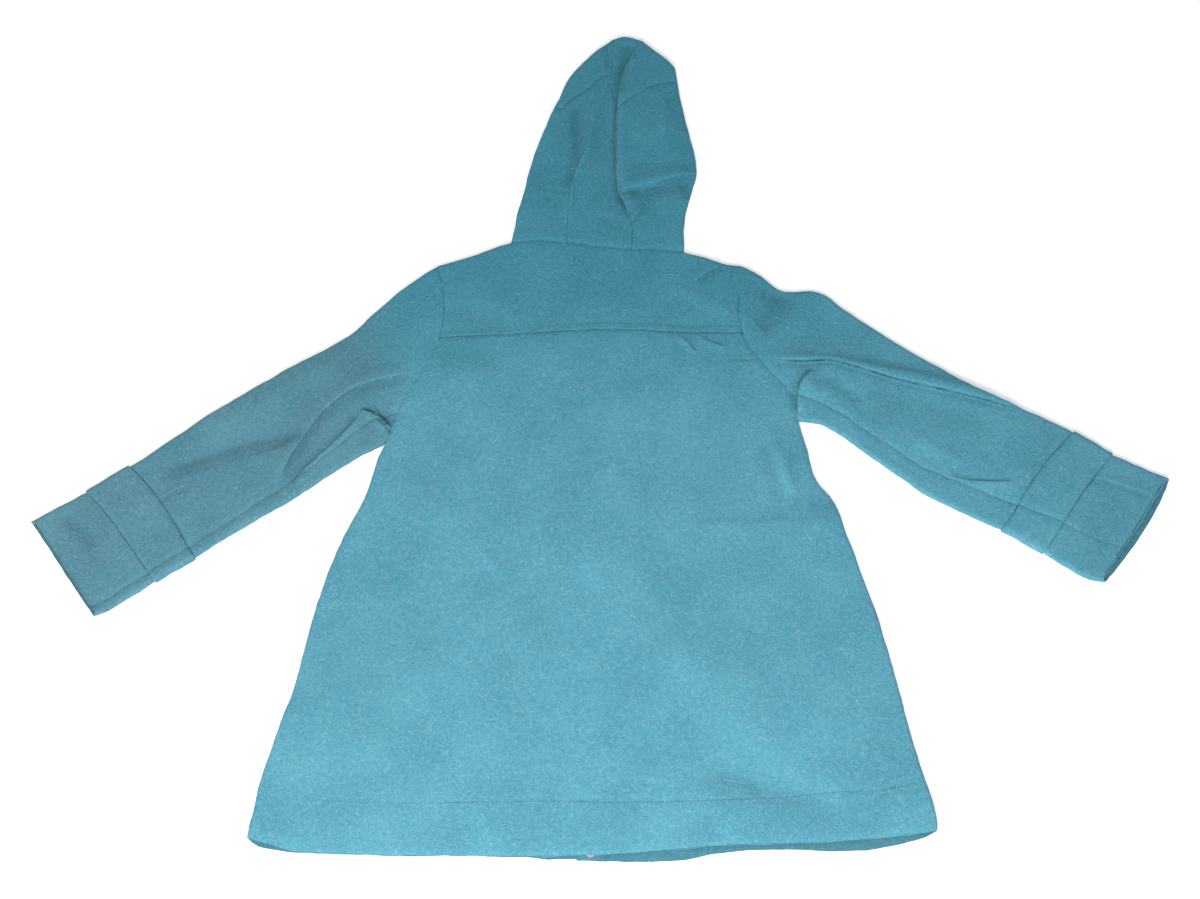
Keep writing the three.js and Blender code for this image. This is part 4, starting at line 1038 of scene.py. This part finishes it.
def felted_fleece(name, main, light, dark):
    """Brushed and felted fleece: heathered short fibres lie every way, so it is matt with a pale bloom."""
    material, tree, shader = new_material(name, {
        "Roughness": 0.95, "Specular IOR Level": 0.12, "Sheen Weight": 0.12, "Sheen Roughness": 0.6,
        "Sheen Tint": colour("#b9dbe4")})
    place = add_node(tree, "ShaderNodeTexCoord").outputs["Object"]
    carried = {label: add_node(tree, "ShaderNodeAttribute", {"attribute_name": label}).outputs["Fac"]
               for label in ("shadow_line_distance", "pressed_and_shadow_depth", "painted_falloff_shade_share", "painted_grey_shade_share", "fold_tone")}

    def fibres(scale, width, share):
        """Fine curved fibres: the level lines of a noise, broken up by another."""
        winding = add_node(tree, "ShaderNodeTexNoise", links={"Vector": place},
                           inputs={"Scale": scale, "Detail": 1.0, "Distortion": 0.8})
        level = add_node(tree, "ShaderNodeMath", {"operation": "SUBTRACT"}, {1: 0.5},
                         {0: winding.outputs["Fac"]})
        away = add_node(tree, "ShaderNodeMath", {"operation": "ABSOLUTE"}, links={0: level.outputs[0]})
        line = add_node(tree, "ShaderNodeMapRange", inputs={"From Max": width, "To Min": 1.0, "To Max": 0.0},
                        links={"Value": away.outputs[0]})
        breaks = add_node(tree, "ShaderNodeTexNoise", inputs={"Scale": scale * 0.9, "Detail": 1.0},
                          links={"Vector": place})
        broken = add_node(tree, "ShaderNodeMapRange", inputs={"From Min": share, "From Max": share + 0.05},
                          links={"Value": breaks.outputs["Color"]})
        return add_node(tree, "ShaderNodeMath", {"operation": "MULTIPLY"},
                        links={0: line.outputs[0], 1: broken.outputs[0]}).outputs[0]

    # Nap brushed a little different in patches about 60 mm across, felted clumps about 5 mm across and,
    # finest, the grain of the fibres' ends: scale, detail, roughness, and how far each shifts the colour
    mottle = []
    for scale, detail, rough, low, high in ((15.0, 3.0, 0.5, 0.35, 0.65), (210.0, 3.0, 0.6, -0.16, 0.16),
                                            (650.0, 2.0, 0.5, -0.16, 0.16)):
        noise = add_node(tree, "ShaderNodeTexNoise", links={"Vector": place},
                         inputs={"Scale": scale, "Detail": detail, "Roughness": rough})
        mottle.append(add_node(tree, "ShaderNodeMapRange", links={"Value": noise.outputs["Fac"]}, inputs={
            "From Min": 0.3, "From Max": 0.7, "To Min": low, "To Max": high}).outputs[0])
    patches, clumps, grain = mottle
    shift = patches
    for part in (clumps, grain):
        shift = add_node(tree, "ShaderNodeMath", {"operation": "ADD"}, links={0: shift, 1: part}).outputs[0]
    ramp = add_node(tree, "ShaderNodeValToRGB", links={"Fac": shift})
    ramp.color_ramp.elements[0].color = colour(dark)
    ramp.color_ramp.elements[1].color = colour(light)
    ramp.color_ramp.elements.new(0.5).color = colour(main)

    # Pale fibres about 3 mm long, drawn about 0.5 mm wide so that they show, and fewer dark ones
    pale, deep = fibres(300.0, 0.07, 0.44), fibres(330.0, 0.06, 0.48)
    shown = [add_node(tree, "ShaderNodeMapRange", inputs={"To Max": most}, links={"Value": threads}).outputs[0]
             for threads, most in ((pale, 0.21), (deep, 0.2))]
    coat = ramp.outputs["Color"]
    for blend, share, text in (("MIX", shown[0], "#a9cfd9"), ("MIX", shown[1], "#1d4c60"),
                               # Painted shade: darker towards the hood and shoulders
                               ("MULTIPLY", carried["painted_falloff_shade_share"], "#cde8ec"),
                               # Painted shade: greyer and darker on the left sleeve and the cuffs
                               ("MULTIPLY", carried["painted_grey_shade_share"], "#fbe2e0")):
        coat = add_node(tree, "ShaderNodeMixRGB", {"blend_type": blend}, {"Color2": colour(text)},
                        {"Fac": share, "Color1": coat}).outputs[0]

    # Painted shade and highlight: crests are lighter and hollows darker. Where one fold lies on another, a
    # painted shadow line on nap that is pressed there too reaches 1.2 mm to each side
    bright = add_node(tree, "ShaderNodeMapRange", links={"Value": carried["fold_tone"]},
                      inputs={"From Min": -1.0, "From Max": 1.0, "To Min": 0.72, "To Max": 1.28})
    folded = add_node(tree, "ShaderNodeHueSaturation", links={"Value": bright.outputs[0], "Color": coat})
    near = add_node(tree, "ShaderNodeMath", {"operation": "ABSOLUTE"}, links={0: carried["shadow_line_distance"]})
    line = add_node(tree, "ShaderNodeMapRange", {"interpolation_type": "SMOOTHSTEP"},
                    {"From Min": 0.1, "From Max": 1.2, "To Min": 1.0, "To Max": 0.0},
                    {"Value": near.outputs[0]})
    pressed_and_shaded = add_node(tree, "ShaderNodeMath", {"operation": "MULTIPLY"},
                       links={0: line.outputs[0], 1: carried["pressed_and_shadow_depth"]}).outputs[0]
    shaded = add_node(tree, "ShaderNodeMixRGB", inputs={"Color2": colour("#163f4e")},
                      links={"Fac": pressed_and_shaded, "Color1": folded.outputs[0]})
    tree.links.new(shaded.outputs[0], shader.inputs["Base Color"])

    # The relief: each part's range and how far it stands up, or is sunk
    relief = None
    for part, low, high, raised in ((clumps, -0.16, 0.16, 1.0), (grain, -0.16, 0.16, 0.6),
                                    (pale, 0.0, 1.0, 0.5), (pressed_and_shaded, 0.0, 1.0, -1.5)):
        height = add_node(tree, "ShaderNodeMapRange", links={"Value": part},
                          inputs={"From Min": low, "From Max": high, "To Max": raised}).outputs[0]
        relief = height if relief is None else add_node(
            tree, "ShaderNodeMath", {"operation": "ADD"}, links={0: relief, 1: height}).outputs[0]
    bump = add_node(tree, "ShaderNodeBump", inputs={"Strength": 0.5, "Distance": 0.0008},
                    links={"Height": relief})
    tree.links.new(bump.outputs["Normal"], shader.inputs["Normal"])
    return material


def nickel_plated_steel():
    """Nickel-plated steel: a pale grey stud with a soft, slightly brushed gloss."""
    material, tree, shader = new_material("nickel_plated_steel", {
        "Base Color": colour("#c3c2cb"), "Metallic": 1.0})
    place = add_node(tree, "ShaderNodeTexCoord").outputs["Object"]
    brushed = add_node(tree, "ShaderNodeTexNoise", inputs={"Scale": 1200.0, "Detail": 2.0},
                       links={"Vector": place})
    gloss = add_node(tree, "ShaderNodeMapRange", inputs={"To Min": 0.28, "To Max": 0.42},
                     links={"Value": brushed.outputs["Fac"]})
    tree.links.new(gloss.outputs["Result"], shader.inputs["Roughness"])
    return material


def uneven_polyester(name, scale, dark, light, inputs):
    """Dyed polyester whose colour wanders between two, in patches of the noise's scale."""
    material, tree, shader = new_material(name, inputs)
    place = add_node(tree, "ShaderNodeTexCoord").outputs["Object"]
    patch = add_node(tree, "ShaderNodeTexNoise", inputs={"Scale": scale, "Detail": 1.0},
                     links={"Vector": place})
    ramp = add_node(tree, "ShaderNodeValToRGB", links={"Fac": patch.outputs["Fac"]})
    for element, text in zip(ramp.color_ramp.elements, (dark, light)):
        element.color = colour(text)
    tree.links.new(ramp.outputs["Color"], shader.inputs["Base Color"])
    return material


def spun_polyester_thread():
    """Spun polyester thread, sunk in the nap: dark teal and dull, so a row of it reads as a row of dots.
    Its twist is about 0.6 mm a turn."""
    return uneven_polyester("spun_polyester_thread", 1600.0, "#2f6678", "#3f7d91",
                            {"Roughness": 0.7, "Specular IOR Level": 0.3})


def loose_polyester_fibre():
    """Loose polyester fibre worked out of the nap: paler than the cloth and matt, so it shows as a fine
    squiggle. Some fibres are paler than others, in patches about 40 mm across."""
    return uneven_polyester("loose_polyester_fibre", 25.0, "#5ba3b8", "#a5cfda",
                            {"Roughness": 0.9, "Specular IOR Level": 0.15})


# Stitches and loose fibres, in millimetres, a little coarser than real ones so that they show

STITCH_SPACING = 4.1
STITCH_SEED = 7
FIBRE_LENGTH = 7.5
FIBRE_RADIUS = 0.17
FIBRE_SWEEP = 1.5
FIBRE_GRID = 8.0
FIBRE_ABOVE_NAP = 0.1

# Rows of stitches: name, the line that each follows, its ends in x, points along it, how far it is
# sunk in the nap, and a stitch's length and radius
STITCH_ROWS = [
    ("hem_stitches", hem_stitch_y, -325, 328, 220, 0.15, 2.2, 0.5),
    ("yoke_stitches", yoke_stitch_y, -190, 162, 140, 0.25, 2.6, 0.4),
]

# Where loose fibres lie: name, two plan corners well inside the outline, seed, and how many to the
# square metre
FIBRE_PATCHES = [
    ("back_fibres", ((-190, -470), (180, 60)), 3, 520),
    ("left_side_fibres", ((-300, -470), (-190, -260)), 5, 420),
    ("right_side_fibres", ((180, -470), (290, -270)), 6, 420),
    ("yoke_fibres", ((-170, 96), (140, 168)), 8, 420),
    ("hood_fibres", ((-60, 230), (70, 380)), 9, 900),
]


def new_tree(name, sizes):
    """A node tree that takes a mesh, some sizes and a seed; with it comes what it is given."""
    tree = bpy.data.node_groups.new(name, "GeometryNodeTree")
    socket = tree.interface.new_socket
    socket("Geometry", in_out="INPUT", socket_type="NodeSocketGeometry")
    for size in sizes:
        socket(size, in_out="INPUT", socket_type="NodeSocketFloat")
    socket("Seed", in_out="INPUT", socket_type="NodeSocketInt")
    socket("Geometry", in_out="OUTPUT", socket_type="NodeSocketGeometry")
    return tree, tree.nodes.new("NodeGroupInput").outputs


def finish_tree(tree, instances, material):
    """The instances become a real, smooth mesh in one material, which the tree gives."""
    real = add_node(tree, "GeometryNodeRealizeInstances", links={0: instances})
    made = add_node(tree, "GeometryNodeSetMaterial", inputs={"Material": material},
                    links={"Geometry": real.outputs[0]})
    smooth = add_node(tree, "GeometryNodeSetShadeSmooth", links={0: made.outputs[0]})
    add_node(tree, "NodeGroupOutput", links={"Geometry": smooth.outputs[0]})
    return tree


def stitch_tree(thread):
    """A row of stitches along a mesh's edges: each is a short thread lying along the row."""
    tree, given = new_tree("stitch_row", ("Spacing", "Stitch Length", "Thread Radius"))
    row = add_node(tree, "GeometryNodeMeshToCurve", links={"Mesh": given["Geometry"]})
    even = add_node(tree, "GeometryNodeResampleCurve", {"mode": "LENGTH"},
                    links={"Curve": row.outputs["Curve"], "Length": given["Spacing"]})
    tangent = add_node(tree, "GeometryNodeInputTangent")
    turned = add_node(tree, "FunctionNodeAlignRotationToVector", {"axis": "X"},
                      links={"Vector": tangent.outputs[0]})
    size = add_node(tree, "FunctionNodeRandomValue", {"data_type": "FLOAT"}, {2: 0.8, 3: 1.15},
                    {"Seed": given["Seed"]})
    bead = add_node(tree, "GeometryNodeMeshUVSphere", inputs={"Segments": 8, "Rings": 5, "Radius": 1.0})
    half = add_node(tree, "ShaderNodeMath", {"operation": "MULTIPLY"}, {1: 0.5}, {0: given["Stitch Length"]})
    shape = add_node(tree, "ShaderNodeCombineXYZ", links={
        "X": half.outputs[0], "Y": given["Thread Radius"], "Z": given["Thread Radius"]})
    stitch = add_node(tree, "GeometryNodeTransform", links={
        "Geometry": bead.outputs["Mesh"], "Scale": shape.outputs[0]})
    laid = add_node(tree, "GeometryNodeInstanceOnPoints", links={
        "Points": even.outputs["Curve"], "Instance": stitch.outputs[0], "Rotation": turned.outputs[0],
        "Scale": size.outputs[1]})
    return finish_tree(tree, laid.outputs[0], thread)


def fibre_tree(fibre):
    """Loose fibres strewn over a mesh's faces: each is a short bent thread lying on the cloth."""
    tree, given = new_tree("loose_fibres", ("Density", "Fibre Length", "Fibre Radius"))
    strewn = add_node(tree, "GeometryNodeDistributePointsOnFaces", links={
        "Mesh": given["Geometry"], "Density": given["Density"], "Seed": given["Seed"]})
    arc_radius = add_node(tree, "ShaderNodeMath", {"operation": "DIVIDE"}, {1: FIBRE_SWEEP},
                          {0: given["Fibre Length"]})
    bend = add_node(tree, "GeometryNodeCurveArc", {"mode": "RADIUS"},
                    {"Resolution": 7, "Sweep Angle": FIBRE_SWEEP}, {"Radius": arc_radius.outputs[0]})
    ring = add_node(tree, "GeometryNodeCurvePrimitiveCircle", {"mode": "RADIUS"}, {"Resolution": 4},
                    {"Radius": given["Fibre Radius"]})
    thread = add_node(tree, "GeometryNodeCurveToMesh", inputs={"Fill Caps": True}, links={
        "Curve": bend.outputs["Curve"], "Profile Curve": ring.outputs["Curve"]})
    turn = add_node(tree, "FunctionNodeRandomValue", {"data_type": "FLOAT_VECTOR"},
                    {0: (0.0, 0.0, 0.0), 1: (0.0, 0.0, 6.283)}, {"Seed": given["Seed"]})
    size = add_node(tree, "FunctionNodeRandomValue", {"data_type": "FLOAT"}, {2: 0.35, 3: 1.2},
                    {"Seed": given["Seed"]})
    laid = add_node(tree, "GeometryNodeInstanceOnPoints", links={
        "Points": strewn.outputs["Points"], "Instance": thread.outputs["Mesh"], "Rotation": turn.outputs[0],
        "Scale": size.outputs[1]})
    return finish_tree(tree, laid.outputs[0], fibre)


def on_top(points, sunk):
    """Plan points laid on the upper layer's outer face, or sunk in it, in millimetres."""
    p = np.array(points, float)
    return np.column_stack([p[:, 0], p[:, 1] + MIDDLE_SHIFT, upper_height(p[:, 0], p[:, 1]) - sunk])


def grow(name, points, edges, faces, tree, sizes):
    """A mesh that a node tree makes from guide points in millimetres; sizes are the tree's own inputs."""
    mesh = bpy.data.meshes.new(name)
    mesh.from_pydata((points * MM).tolist(), edges, faces)
    guide = add_object(name + "_guide", mesh)
    modifier = guide.modifiers.new("grown", "NODES")
    modifier.node_group = tree
    for item in tree.interface.items_tree:
        if item.in_out == "INPUT" and item.name in sizes:
            modifier[item.identifier] = sizes[item.name]
    seen = guide.evaluated_get(bpy.context.evaluated_depsgraph_get())
    made = bpy.data.meshes.new_from_object(seen)
    bpy.data.objects.remove(guide)
    grown = add_object(name, made)
    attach(grown, "root")


def make_stitches(tree):
    for name, line_y, start, end, count, sunk, length, radius in STITCH_ROWS:
        x = np.linspace(start, end, count)
        edges = [(k, k + 1) for k in range(count - 1)]
        grow(name, on_top(np.column_stack([x, line_y(x)]), sunk), edges, [], tree, {
            "Spacing": STITCH_SPACING * MM, "Stitch Length": length * MM, "Thread Radius": radius * MM,
            "Seed": STITCH_SEED})


def make_fibres(tree):
    """Loose fibres, each patch strewn on a grid between two plan corners."""
    for name, ((left, low), (right, high)), seed, density in FIBRE_PATCHES:
        x, y = np.meshgrid(np.arange(left, right, FIBRE_GRID), np.arange(low, high, FIBRE_GRID))
        points = on_top(np.column_stack([x.ravel(), y.ravel()]), -FIBRE_ABOVE_NAP)
        index = np.arange(x.size).reshape(x.shape)
        faces = np.stack([index[:-1, :-1], index[:-1, 1:], index[1:, 1:], index[1:, :-1]], -1).reshape(-1, 4)
        grow(name, points, [], faces.tolist(), tree, {
            "Density": density, "Fibre Length": FIBRE_LENGTH * MM, "Fibre Radius": FIBRE_RADIUS * MM,
            "Seed": seed})


# Assembly


def main():
    make_camera()
    make_stage()
    fleece = felted_fleece("felted_polyester_fleece", "#498ea6", "#5aa0b6", "#397b92")
    panels = {"back": make_back(), "back_yoke": make_yoke(), "hood_middle": make_hood_middle(),
              "hood_band": make_hood_band()}
    for which in ("left", "right"):
        panels[f"front_{which}"] = make_front(which)
        panels[f"sleeve_{which}_upper"], panels[f"sleeve_{which}_under"] = make_sleeve(which)
        panels[f"strap_{which}_upper"], panels[f"strap_{which}_under"] = make_straps(which)
        panels[f"hood_side_{which}"] = make_hood_side(which)
    for node, piece in panels.items():
        piece.data.materials.append(fleece)
        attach(piece, "root")
        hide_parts(node)
    make_stitches(stitch_tree(spun_polyester_thread()))
    make_fibres(fibre_tree(loose_polyester_fibre()))
    metal = nickel_plated_steel()
    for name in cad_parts:
        if name.startswith("stud_"):
            for slot in bpy.data.objects[name].material_slots:
                slot.material = metal


main()
